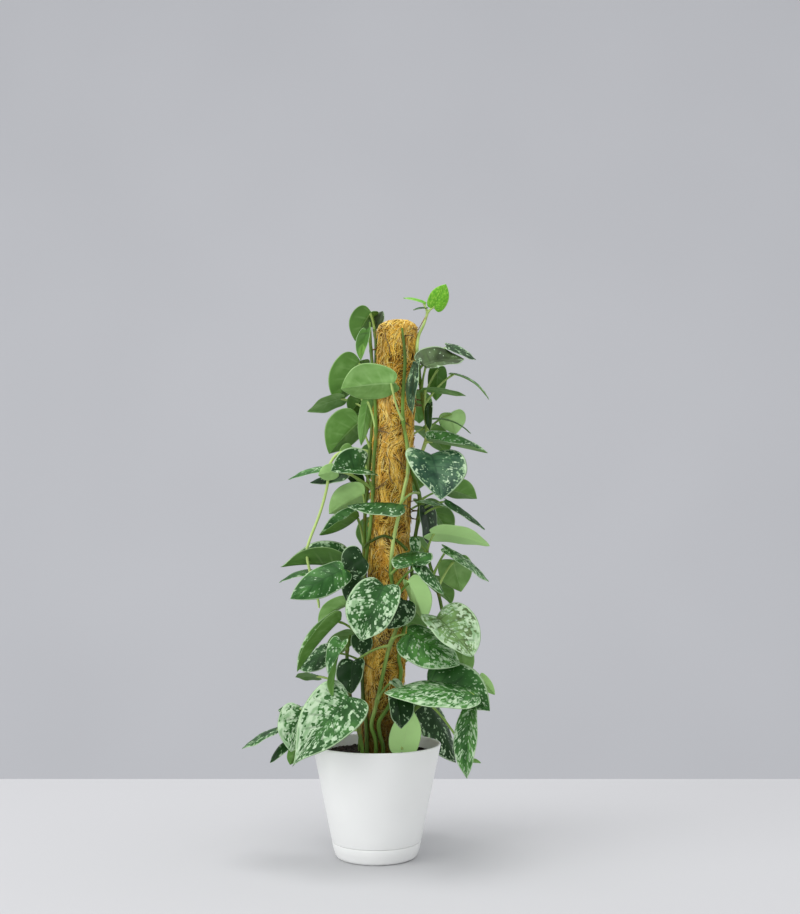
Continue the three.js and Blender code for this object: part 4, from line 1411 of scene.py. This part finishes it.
def photo_vine(name: str, plan: VinePlan) -> Vine:
    """Places a vine by its plan.

    Args:
        name: The node that it stands for.
        plan: Its spots in the photograph.

    Returns:
        The vine.
    """
    curve = root_stem(stem_curve(plan.stem))
    shoot = stem_curve(plan.shoot) if plan.shoot else None
    dice = random.Random(name)
    blades = []
    for leaf in plan.leaves:
        carrier = shoot if leaf.on_shoot else curve
        start = carrier.nearest(lambda point: VIEW.row_of(point) - leaf.node)
        joint = VIEW.seen_at(leaf.joint, leaf.near[0])
        tip = VIEW.seen_at(leaf.tip, leaf.near[1])
        facing = (Vector(VIEW.eye) - (joint + tip) / 2).normalized()
        blades.append(Blade(leaf, start, joint, tip, facing, dice.random()))
    return Vine(name, curve, blades, shoot, plan.youth_and_shade, plan.shoot_youth)


class Stream:
    """The small repeatable random source that the solids' back stems are drawn with."""

    FACTOR = 1664525
    STEP = 1013904223
    SPAN = 2**32

    def __init__(self, seed: int) -> None:
        """Starts the source from a seed."""
        self.state = seed

    def draw(self) -> float:
        """Draws the next number, from 0 to 1."""
        self.state = (self.state * self.FACTOR + self.STEP) % self.SPAN
        return self.state / self.SPAN


@dataclass(frozen=True)
class BackStem:
    """A stem behind the pole, with leaves by turns on either side, each in the stem's own quarter."""

    name: str
    quarter: float
    seed: int
    lowest: float
    heights: tuple = (SOIL_TOP + STEM_FOOT, 200 * MM, 300 * MM, 400 * MM, 500 * MM, 600 * MM)
    highest: float = 590 * MM
    spacing: float = 46 * MM
    wander: float = 0.12
    wander_length: float = 55 * MM
    stem_out: float = STEM_CLEAR + 0.6 * MM
    swing: float = 13 * DEGREE
    joint_out: float = 62 * MM
    tip_out: float = 118 * MM
    drop: float = 34 * MM
    stalk_drop: float = 22 * MM
    wide: float = 50 * MM
    bend: float = 26
    upward: float = 0.9

    def around(self, angle: float, out: float, z: float) -> Vector:
        """Gives the point at a direction and a distance from the pole's middle."""
        return Vector((pole_x(z) + out * math.cos(angle), out * math.sin(angle), z))

    def stem(self) -> SmoothCurve:
        """Places the stem, which wanders a little round the pole as it climbs.

        Returns:
            Its curve, with its buried end.
        """
        points = []
        for z in self.heights:
            angle = self.quarter + self.wander * math.sin(z / self.wander_length)
            points.append(self.around(angle, self.stem_out, z))
        return root_stem(SmoothCurve(points))

    def vine(self) -> Vine:
        """Places the vine.

        Returns:
            The vine.
        """
        stream = Stream(self.seed)
        curve = self.stem()
        climb = self.highest - self.lowest
        blades = []
        for number in range(int(climb / self.spacing) + 1):
            z = self.lowest + number * self.spacing
            turn = 1 if number % 2 == 0 else -1
            angle = self.quarter + turn * self.swing * (0.8 + 0.4 * stream.draw())
            reach = 1 - 0.25 * ((z - self.lowest) / climb) + 0.1 * stream.draw()
            drop = self.drop * (0.7 + 0.6 * stream.draw())
            width = self.wide * (0.9 + 0.2 * stream.draw())
            start = curve.nearest(lambda point: point.z - (z - self.stalk_drop))
            joint = self.around(angle, self.joint_out * reach, z)
            tip = self.around(angle, self.tip_out * reach, z - drop)
            facing = Vector((math.cos(angle), math.sin(angle), self.upward)).normalized()
            silver = 0.15 + 0.35 * ((number * 0.618 + self.seed) % 1)
            leaf = Leaf(0, (0, 0), (0, 0), (0, 0), bend=self.bend, wide=width, silver=silver)
            own = (number * 0.37 + 0.11 * self.seed) % 1
            blades.append(Blade(leaf, start, joint, tip, facing, own))
        return Vine(self.name, curve, blades)


# Pot, saucer and soil


def turned(name: str, profile: list, steps: int, finish: Material) -> Object:
    """Spins a profile into a closed round body.

    Args:
        name: The piece's name.
        profile: Radius and height of each corner, from the axis back to the axis.
        steps: How many steps the turn has.
        finish: The piece's material.

    Returns:
        The object.
    """
    sheet = bmesh.new()
    verts = [sheet.verts.new((radius, 0, z)) for radius, z in profile]
    edges = [sheet.edges.new(pair) for pair in zip(verts, verts[1:])]
    bmesh.ops.spin(
        sheet,
        geom=verts + edges,
        cent=(0, 0, 0),
        axis=(0, 0, 1),
        angle=TURN,
        steps=steps,
        use_merge=True,
    )
    bmesh.ops.remove_doubles(sheet, verts=sheet.verts, dist=0.001 * MM)
    bmesh.ops.recalc_face_normals(sheet, faces=sheet.faces)
    return smooth_object(name, sheet, finish)


def rounded(corner: tuple, start: float, end: float, radius: float, steps: int = 5) -> list:
    """Gives the points of a rounded corner.

    Args:
        corner: The middle of the rounding, as radius and height.
        start: The angle at which it starts.
        end: The angle at which it ends.
        radius: The rounding's radius.
        steps: How many stretches it has.

    Returns:
        Its points.
    """
    points = []
    for i in range(steps + 1):
        angle = (start + (end - start) * i / steps) * DEGREE
        points.append((corner[0] + radius * math.cos(angle), corner[1] + radius * math.sin(angle)))
    return points


@dataclass
class Saucer:
    """The low dish, its wall in line with the pot's side, with a fine rounded upper edge."""

    foot_round: float = 5 * MM
    foot_band: float = 6 * MM
    inner_round: float = 2 * MM
    edge_round: float = 0.6 * MM
    steps: int = 128

    def build(self, finish: Material) -> None:
        """Makes the dish.

        Args:
            finish: Its material.
        """
        flat = outer_radius(0) - self.foot_round
        edge = self.edge_round
        outer_edge = (SEAM_RADIUS - edge, SEAM_HEIGHT - edge)
        inner_edge = (SEAM_RADIUS - WALL + edge, SEAM_HEIGHT - edge)
        low = SAUCER_FLOOR + self.inner_round
        profile = [
            (0, 0),
            (flat - self.foot_band, 0),
            (flat, 0),
            *rounded((flat, self.foot_round), -80, -10, self.foot_round),
            (outer_radius(SEAM_HEIGHT / 2), SEAM_HEIGHT / 2),
            *rounded(outer_edge, 10, 90, edge),
            *rounded(inner_edge, 90, 180, edge),
            (outer_radius(low) - WALL, low),
            (outer_radius(SAUCER_FLOOR) - WALL - self.inner_round, SAUCER_FLOOR),
            (0, SAUCER_FLOOR),
        ]
        self.piece = turned("saucer_shell", profile, self.steps, finish)

    def dress(self) -> None:
        """Says what the piece stands for."""
        settle(self.piece, "moulded_white", "saucer")


@dataclass
class Pot:
    """The tapered pot: a stepped foot inside the saucer, a fine seam over it, and a soft plain rim."""

    foot_gap: float = 1 * MM
    foot_bevel: float = 3 * MM
    floor: float = 2.6 * MM
    rim_round: float = 1.4 * MM
    rim_inset: float = 0.2 * MM
    rim_depth: float = 8 * MM
    seam_round: float = 0.7 * MM
    side_rows: int = 11
    side_end: float = 3 * MM
    steps: int = 128

    def foot(self, z: float) -> float:
        """Gives the outside radius of the foot, which stands inside the saucer, at a height."""
        return outer_radius(z) - WALL - self.foot_gap

    def build(self, finish: Material) -> None:
        """Makes the pot.

        Args:
            finish: Its material.
        """
        bottom = SAUCER_FLOOR + SEAT_GAP
        bevel = bottom + self.foot_bevel
        step = SEAM_HEIGHT + SEAT_GAP
        low = step + WALL
        inside = bottom + self.floor
        under_rim = RIM_HEIGHT - self.rim_depth
        seam = (outer_radius(step) - self.seam_round, step + self.seam_round)
        rim_out = (RIM_RADIUS - self.rim_round - self.rim_inset, RIM_HEIGHT - self.rim_round)
        rim_in = (RIM_RADIUS - RIM_LIP + self.rim_round, RIM_HEIGHT - self.rim_round)
        side = RIM_HEIGHT - step - self.side_end
        rows = [step + side * i / self.side_rows for i in range(1, self.side_rows + 1)]
        profile = [
            (0, bottom),
            (self.foot(bottom) - self.foot_bevel, bottom),
            (self.foot(bevel), bevel),
            (self.foot(step), step),
            *rounded(seam, -90, -10, self.seam_round),
            *((outer_radius(z), z) for z in rows),
            *rounded(rim_out, 10, 90, self.rim_round),
            *rounded(rim_in, 90, 180, self.rim_round),
            (outer_radius(under_rim) - WALL, under_rim),
            (outer_radius(low) - WALL, low),
            (self.foot(step) - WALL, low - 1 * MM),
            (self.foot(inside) - WALL, inside),
            (0, inside),
        ]
        self.piece = turned("pot_shell", profile, self.steps, finish)

    def dress(self) -> None:
        """Says what the piece stands for."""
        settle(self.piece, "moulded_white", "pot")


@dataclass
class Soil:
    """Loose potting mix: an uneven bed, and crumbs of bark and peat lying on it."""

    rings: int = 34
    spokes: int = 96
    bottom: float = 26 * MM
    bottom_gap: float = 1.2 * MM
    top_gap: float = 1 * MM
    coarse_size: float = 16 * MM
    coarse_rise: float = 1.6 * MM
    fine_size: float = 4 * MM
    fine_rise: float = 0.8 * MM
    crumbs: int = 1500
    crumb_size: tuple = (1.2 * MM, 4.2 * MM)
    crumb_stretch: tuple = ((0.6, 1.5), (0.6, 1.2), (0.3, 0.7))
    crumb_lift: float = 0.2
    crumb_tilt: float = 0.5
    crumb_rough: float = 0.25 * MM
    crumb_grain: float = 1.5 * MM
    crumb_reach: float = 0.97
    pole_clear: float = 2 * MM
    seed: int = 7

    def height_at(self, x: float, y: float) -> float:
        """Gives the bed's height.

        Args:
            x: The place along X.
            y: The place along Y.

        Returns:
            The height over the origin.
        """
        coarse = noise.noise(Vector((x / self.coarse_size, y / self.coarse_size, 3.0)))
        fine = noise.noise(Vector((x / self.fine_size, y / self.fine_size, 9.0)))
        return SOIL_TOP + self.coarse_rise * coarse + self.fine_rise * fine

    def build(self, finish: Material) -> None:
        """Makes the bed and the crumbs.

        Args:
            finish: Their material.
        """
        inner = outer_radius(SOIL_TOP) - WALL - self.top_gap
        profile = [
            (0, self.bottom),
            (outer_radius(self.bottom) - WALL - self.bottom_gap, self.bottom),
            *((inner * (1 - i / self.rings), SOIL_TOP) for i in range(self.rings)),
            (0, SOIL_TOP),
        ]
        self.bed = turned("soil_bed", profile, self.spokes, finish)
        for vert in self.bed.data.vertices:
            if vert.co.z > SOIL_TOP - 1 * MM:
                vert.co.z = self.height_at(vert.co.x, vert.co.y)
        dice = random.Random(self.seed)
        sheet = bmesh.new()
        for _ in range(self.crumbs):
            self.add_crumb(sheet, inner, dice)
        for vert in sheet.verts:
            vert.co += self.crumb_rough * noise.noise_vector(vert.co / self.crumb_grain)
        self.loose = smooth_object("soil_crumbs", sheet, finish)

    def add_crumb(self, sheet: BMesh, inner: float, dice: random.Random) -> None:
        """Adds one crumb, unless it would lie in the pole.

        Args:
            sheet: The crumbs' mesh.
            inner: The bed's radius.
            dice: The random source.
        """
        out = inner * math.sqrt(dice.random()) * self.crumb_reach
        angle = dice.random() * TURN
        x = out * math.cos(angle)
        y = out * math.sin(angle)
        if math.hypot(x - pole_x(SOIL_TOP), y) < POLE_RADIUS + self.pole_clear:
            return
        size = dice.uniform(*self.crumb_size)
        stretch = Vector([dice.uniform(*span) for span in self.crumb_stretch])
        place = Matrix.Translation((x, y, self.height_at(x, y) + self.crumb_lift * size))
        spin = Matrix.Rotation(dice.random() * TURN, 4, "Z")
        turn = spin @ Matrix.Rotation(dice.uniform(-self.crumb_tilt, self.crumb_tilt), 4, "X")
        scale = Matrix.Diagonal((*(stretch * size / 2), 1))
        bmesh.ops.create_icosphere(sheet, subdivisions=1, radius=1, matrix=place @ turn @ scale)

    def dress(self) -> None:
        """Says what the pieces stand for."""
        for piece in (self.bed, self.loose):
            settle(piece, "soil", "soil")


# Pole


@dataclass
class CoirPole:
    """The climbing pole: a lumpy matted sleeve wrapped in thousands of loose coconut fibres."""

    relief: float = 1.6 * MM
    dome: float = 13 * MM
    dome_round: float = 0.7
    rows: int = 220
    sides: int = 72
    felt_depth: float = 2.2 * MM
    felt_rough: float = 0.6 * MM
    strands: int = 3700
    strand_radius: float = 0.46 * MM
    strand_length: tuple = (16 * MM, 52 * MM)
    strand_steps: int = 8
    strand_sunk: float = 0.3 * MM
    strand_span: tuple = (SOIL_TOP - 6 * MM, POLE_TOP + 2 * MM)
    strand_sway: float = 0.3
    swirl_size: float = 17 * MM
    swirl_turn: float = 2.1
    loose_share: float = 0.28
    stray_share: float = 0.1
    stray_lift: tuple = (0.6 * MM, 2.4 * MM)
    plain_lift: tuple = (-0.1 * MM, 0.7 * MM)
    cap_strands: int = 130
    cap_reach: float = 0.6
    cap_half: tuple = (5 * MM, 11 * MM)
    cap_lift: tuple = (-0.2 * MM, 0.5 * MM)
    seed: int = 5

    def radius_at(self, angle: float, z: float) -> float:
        """Gives the sleeve's surface, as the solid has it.

        Args:
            angle: The direction from the pole's middle.
            z: The height.

        Returns:
            The radius there.
        """
        coarse = math.sin(5 * angle + 110 * z) * math.sin(3 * angle - 70 * z + 1)
        fine = math.sin(11 * angle - 230 * z) * math.cos(2 * angle + 310 * z)
        plain = POLE_RADIUS - self.relief * (0.5 - 0.3 * coarse - 0.2 * fine)
        over = (z - (POLE_TOP - self.dome)) / self.dome
        if over <= 0:
            return plain
        return plain * math.sqrt(max(0.0, 1 - min(1.0, over) ** 2)) ** self.dome_round

    def point(self, angle: float, z: float, out: float) -> Vector:
        """Gives the point that stands out of the sleeve's surface at a direction and a height."""
        radius = self.radius_at(angle, z) + out
        return Vector((pole_x(z) + radius * math.cos(angle), radius * math.sin(angle), z))

    def build(self, felt: Material, strands: list[Material]) -> None:
        """Makes the felt and the strands.

        Args:
            felt: The felt's material.
            strands: A material for each set of strands.
        """
        self.pieces = [self.make_felt(felt)]
        for number, finish in enumerate(strands):
            self.pieces.append(self.make_strands(number, finish))

    def make_felt(self, finish: Material) -> Object:
        """Makes the matted sleeve under the strands.

        Args:
            finish: Its material.

        Returns:
            The object.
        """
        top = POLE_TOP - 0.4 * MM
        rise = top - COIR_BOTTOM
        heights = [COIR_BOTTOM + rise * (row / self.rows) ** 0.9 for row in range(self.rows + 1)]
        profile = [(0, COIR_BOTTOM), *((POLE_RADIUS, z) for z in heights), (0, top + 0.2 * MM)]
        piece = turned("coir_felt", profile, self.sides, finish)
        for vert in piece.data.vertices:
            z = vert.co.z
            if math.hypot(vert.co.x, vert.co.y) > POLE_RADIUS / 2:
                angle = math.atan2(vert.co.y, vert.co.x)
                rough = noise.noise(vert.co / (5 * MM)) + noise.noise(vert.co / (2 * MM))
                vert.co = self.point(angle, z, self.felt_rough * rough - self.felt_depth)
            else:
                vert.co.x += pole_x(z)
        return piece

    def make_strands(self, number: int, finish: Material) -> Object:
        """Makes one set of loose strands.

        Args:
            number: The set's number, which seeds it.
            finish: Its material.

        Returns:
            The object.
        """
        dice = random.Random(self.seed + number)
        section = bpy.data.curves.new("section", "CURVE")
        triangle = section.splines.new("POLY")
        triangle.points.add(2)
        for corner, knot in enumerate(triangle.points):
            angle = corner * TURN / 3
            knot.co = (math.cos(angle), math.sin(angle), 0, 1)
        triangle.use_cyclic_u = True
        section_carrier = bpy.data.objects.new("section", section)
        curve = bpy.data.curves.new("strands", "CURVE")
        curve.dimensions = "3D"
        curve.bevel_mode = "OBJECT"
        curve.bevel_object = section_carrier
        for _ in range(self.strands):
            self.add_strand(curve, dice)
        for _ in range(self.cap_strands):
            self.add_cap_strand(curve, dice)
        carrier = bpy.data.objects.new("strands", curve)
        bpy.context.collection.objects.link(section_carrier)
        bpy.context.collection.objects.link(carrier)
        graph = bpy.context.evaluated_depsgraph_get()
        mesh = bpy.data.meshes.new_from_object(carrier.evaluated_get(graph))
        bpy.data.objects.remove(carrier)
        bpy.data.objects.remove(section_carrier)
        sheet = bmesh.new()
        sheet.from_mesh(mesh)
        bpy.data.meshes.remove(mesh)
        return smooth_object(f"coir_strands_{number + 1}", sheet, finish)

    def swirl_at(self, angle: float, z: float) -> float:
        """Gives the slope of a patch's fibres, from level (0) to upright (a quarter turn)."""
        place = Vector((math.cos(angle) * POLE_RADIUS, math.sin(angle) * POLE_RADIUS, 0.7 * z))
        return 0.4 * math.pi + self.swirl_turn * noise.noise(place / self.swirl_size)

    def add_strand(self, curve: Curve, dice: random.Random) -> None:
        """Adds one strand that wanders over the sleeve and dips in and out of it.

        Args:
            curve: The curve that it is added to.
            dice: The set's random source.
        """
        length = dice.uniform(*self.strand_length)
        angle = dice.random() * TURN
        z = dice.uniform(*self.strand_span)
        loose = dice.random() < self.loose_share
        aside = dice.random() * TURN if loose else dice.gauss(0, self.strand_sway)
        stray = dice.random() < self.stray_share
        lift = dice.uniform(*(self.stray_lift if stray else self.plain_lift))
        spline = curve.splines.new("POLY")
        spline.points.add(self.strand_steps - 1)
        step = length / (self.strand_steps - 1)
        for number, knot in enumerate(spline.points):
            share = number / (self.strand_steps - 1)
            out = lift * math.sin(math.pi * min(1.0, share + (0.5 if stray else 0))) - self.strand_sunk
            if stray and share == 1:
                out = lift
            z = min(z, POLE_TOP - 0.3 * MM)
            knot.co = (*self.point(angle, z, out), 1)
            knot.radius = self.strand_radius * (1 - 0.5 * share)
            heading = aside + self.swirl_at(angle, z)
            local = max(6 * MM, self.radius_at(angle, z))
            angle += step * math.cos(heading) / local
            z += step * math.sin(heading)

    def add_cap_strand(self, curve: Curve, dice: random.Random) -> None:
        """Adds one strand that lies over the sleeve's rounded top.

        Args:
            curve: The curve that it is added to.
            dice: The set's random source.
        """
        across = POLE_RADIUS - self.relief
        middle = Vector([dice.uniform(-self.cap_reach, self.cap_reach) for _ in range(2)]) * across
        turn = dice.random() * TURN
        half = Vector((math.cos(turn), math.sin(turn))) * dice.uniform(*self.cap_half)
        lift = dice.uniform(*self.cap_lift)
        spline = curve.splines.new("POLY")
        spline.points.add(self.strand_steps - 1)
        for number, knot in enumerate(spline.points):
            spot = middle + half * (2 * number / (self.strand_steps - 1) - 1)
            reach = min(0.98, spot.length / across)
            fall = self.dome * (1 - math.sqrt(1 - reach ** (2 / self.dome_round)))
            knot.co = (pole_x(POLE_TOP) + spot.x, spot.y, POLE_TOP - 0.5 * MM - fall + lift, 1)
            knot.radius = self.strand_radius

    def dress(self) -> None:
        """Says what the pieces stand for."""
        for piece in self.pieces:
            settle(piece, "coir", "coir_wrap")


@dataclass
class AerialRoots:
    """Short dry roots that grip the sleeve at the stems' nodes, and a few longer on its face."""

    pole: CoirPole
    radius: float = 0.7 * MM
    length: tuple = (8 * MM, 20 * MM)
    drift: tuple = (-0.5, 0.9)
    reach: float = 8 * MM
    steps: int = 6
    sides: int = 6
    seed: int = 3
    lift: tuple = (2.4 * MM, 0.2 * MM)
    long_roots: tuple = (
        ((385, 331), (386, 338), (389, 345), (390, 353)),
        ((402, 339), (407, 335), (412, 334), (417, 337)),
        ((386, 452), (390, 463), (389, 474), (393, 484)),
        ((388, 590), (384, 598), (386, 606)),
    )

    def build(self, vines: list[Vine], finish: Material) -> None:
        """Makes the roots.

        Args:
            vines: The vines that they grow from.
            finish: Their material.
        """
        dice = random.Random(self.seed)
        self.sheet = bmesh.new()
        for start in (blade.start for vine in vines for blade in vine.blades):
            aside = Vector((start.x - pole_x(start.z), start.y))
            if aside.length <= STEM_CLEAR + self.reach:
                for _ in range(dice.choice((1, 2, 2, 3))):
                    self.add_root(start, math.atan2(aside.y, aside.x), dice)
        for spots in self.long_roots:
            self.add_long_root(spots)
        self.piece = smooth_object("aerial_roots", self.sheet, finish)

    def add_root(self, start: Vector, angle: float, dice: random.Random) -> None:
        """Adds one root that leaves the stem sideways and runs along the sleeve.

        Args:
            start: The node's middle.
            angle: The stem's direction from the pole's middle.
            dice: The random source.
        """
        side = dice.choice((-1, 1))
        length = dice.uniform(*self.length)
        drift = dice.uniform(*self.drift)
        points = [start.copy()]
        for number in range(1, self.steps + 1):
            share = number / self.steps
            around = angle + side * length * share / POLE_RADIUS
            z = start.z + drift * length * share
            out = self.lift[0] * (1 - share) + self.lift[1] * share
            points.append(self.pole.point(around, min(z, POLE_TOP - self.pole.dome), out))
        radii = [self.radius * (1 - 0.5 * i / self.steps) for i in range(self.steps + 1)]
        add_tube(self.sheet, points, radii, self.sides)

    def add_long_root(self, spots: tuple) -> None:
        """Adds a thin dry root that lies on the sleeve where the photograph shows one.

        Args:
            spots: Columns and rows that it passes.
        """
        points = []
        for spot in spots:
            seen = VIEW.seen_at(spot, POLE_RADIUS)
            aside = max(-0.95, min(0.95, (seen.x - pole_x(seen.z)) / POLE_RADIUS))
            points.append(self.pole.point(math.asin(aside) - math.pi / 2, seen.z, self.radius))
        add_tube(self.sheet, points, [0.8 * self.radius] * len(points), self.sides)

    def dress(self) -> None:
        """Says that the roots ride on the plant."""
        settle(self.piece, "leafy_stem")


# Studio


@dataclass
class Studio:
    """A pale floor with a straight back edge, a grey backdrop well behind it, light and camera."""

    floor_near: float = 4.0
    floor_far: float = 0.467
    backdrop_y: float = 4.5
    backdrop_low: float = -2.5
    backdrop_high: float = 4.5
    half_width: float = 5.0
    air: str = "#f0f1f3"
    air_strength: float = 0.92
    aim: tuple = (0, 0, 0.35)
    lamps: tuple = (
        ("key_light", (-3.0, -1.9, 1.8), 2.4, 50),
        ("top_light", (-0.2, -0.5, 3.3), 1.8, 46),
    )

    def build(self) -> None:
        """Adds the floor, the backdrop, the lights and the camera."""
        width = 2 * self.half_width
        depth = self.floor_near + self.floor_far
        middle = Matrix.Translation((0, (self.floor_far - self.floor_near) / 2, 0))
        self.board("floor", (width, depth), middle, FLOOR_PAINT.material())
        height = self.backdrop_high - self.backdrop_low
        middle_z = (self.backdrop_high + self.backdrop_low) / 2
        upright = Matrix.Translation((0, self.backdrop_y, middle_z)) @ Matrix.Rotation(math.pi / 2, 4, "X")
        self.board("backdrop", (width, height), upright, BACKDROP_PAINT.material())
        for lamp in self.lamps:
            self.lamp(*lamp)
        world = bpy.data.worlds.new("studio_air")
        world.use_nodes = True
        background = world.node_tree.nodes["Background"]
        background.inputs["Color"].default_value = linear(self.air)
        background.inputs["Strength"].default_value = self.air_strength
        bpy.context.scene.world = world
        bpy.context.scene.view_settings.view_transform = "Standard"
        self.camera()

    def board(self, name: str, size: tuple, place: Matrix, finish: Material) -> None:
        """Adds a flat board that isn't part of the plant.

        Args:
            name: The board's name.
            size: Its width and depth.
            place: Where it stands.
            finish: Its material.
        """
        sheet = bmesh.new()
        scale = Matrix.Diagonal((size[0] / 2, size[1] / 2, 1, 1))
        bmesh.ops.create_grid(sheet, x_segments=4, y_segments=4, size=1, matrix=place @ scale)
        smooth_object(name, sheet, finish)

    def lamp(self, name: str, place: tuple, size: float, power: float) -> None:
        """Adds a soft square light that looks at the plant's middle.

        Args:
            name: The light's name.
            place: Where it stands.
            size: Its side.
            power: Its power in watts.
        """
        data = bpy.data.lights.new(name, "AREA")
        data.energy = power
        data.size = size
        light = bpy.data.objects.new(name, data)
        light.location = place
        light.rotation_euler = (Vector(self.aim) - Vector(place)).to_track_quat("-Z", "Y").to_euler()
        bpy.context.collection.objects.link(light)

    def camera(self) -> None:
        """Adds the camera at the photograph's place."""
        data = bpy.data.cameras.new("camera")
        data.lens = 45
        data.sensor_width = 36
        data.clip_start = 0.05
        camera = bpy.data.objects.new("camera", data)
        camera.location = VIEW.eye
        camera.rotation_euler = (math.pi / 2 + VIEW.tilt, 0, 0)
        bpy.context.collection.objects.link(camera)
        bpy.context.scene.camera = camera


def main() -> None:
    """Builds every piece in order."""
    logging.basicConfig(level=logging.INFO, format="%(name)s: %(message)s")
    Studio().build()
    plastic = MouldedPlastic().material()
    for part, finish in ((Saucer(), plastic), (Pot(), plastic), (Soil(), PottingMix().material())):
        part.build(finish)
        part.dress()
    wood = STAKE_WOOD.material()
    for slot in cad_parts["pole_core"].material_slots:
        slot.material = wood
    pole = CoirPole()
    strand_finishes = [
        CoirStrand("coir_strand_light", "#c88e2a", "#ffd85e", "#ffeea0").material(),
        CoirStrand("coir_strand_dark", "#6e480e", "#e6b238", "#ffdc68").material(),
    ]
    pole.build(CoirFelt().material(), strand_finishes)
    pole.dress()
    uppers = {
        Hue.GREEN: LeafUpper().material(),
        Hue.HAZED: LeafUpper("leaf_hazed", "#143524", "#305c3e", "#4f7f52", haze=0.16).material(),
        Hue.OLIVE: LeafUpper("leaf_olive", "#2a3a18", "#52693a", "#759a58", haze=0.05).material(),
        Hue.NEW: NewLeaf().material(),
        Hue.FRESH: LeafUpper("leaf_fresh", "#223f0e", "#416e20", "#6c9a3e", haze=0.0).material(),
    }
    finishes = VineFinishes(uppers, LeafUnderside().material(), StemSkin().material())
    vines = [photo_vine(name, plan) for name, plan in PHOTO_STEMS.items()]
    vines.append(BackStem("vine_back_left", 116 * DEGREE, 11, 165 * MM).vine())
    vines.append(BackStem("vine_back_right", 60 * DEGREE, 29, 188 * MM).vine())
    for vine in vines:
        vine.build()
        vine.dress(finishes)
    roots = AerialRoots(pole)
    roots.build(vines, ROOT_SKIN.material())
    roots.dress()


if __name__ == "__main__":
    main()
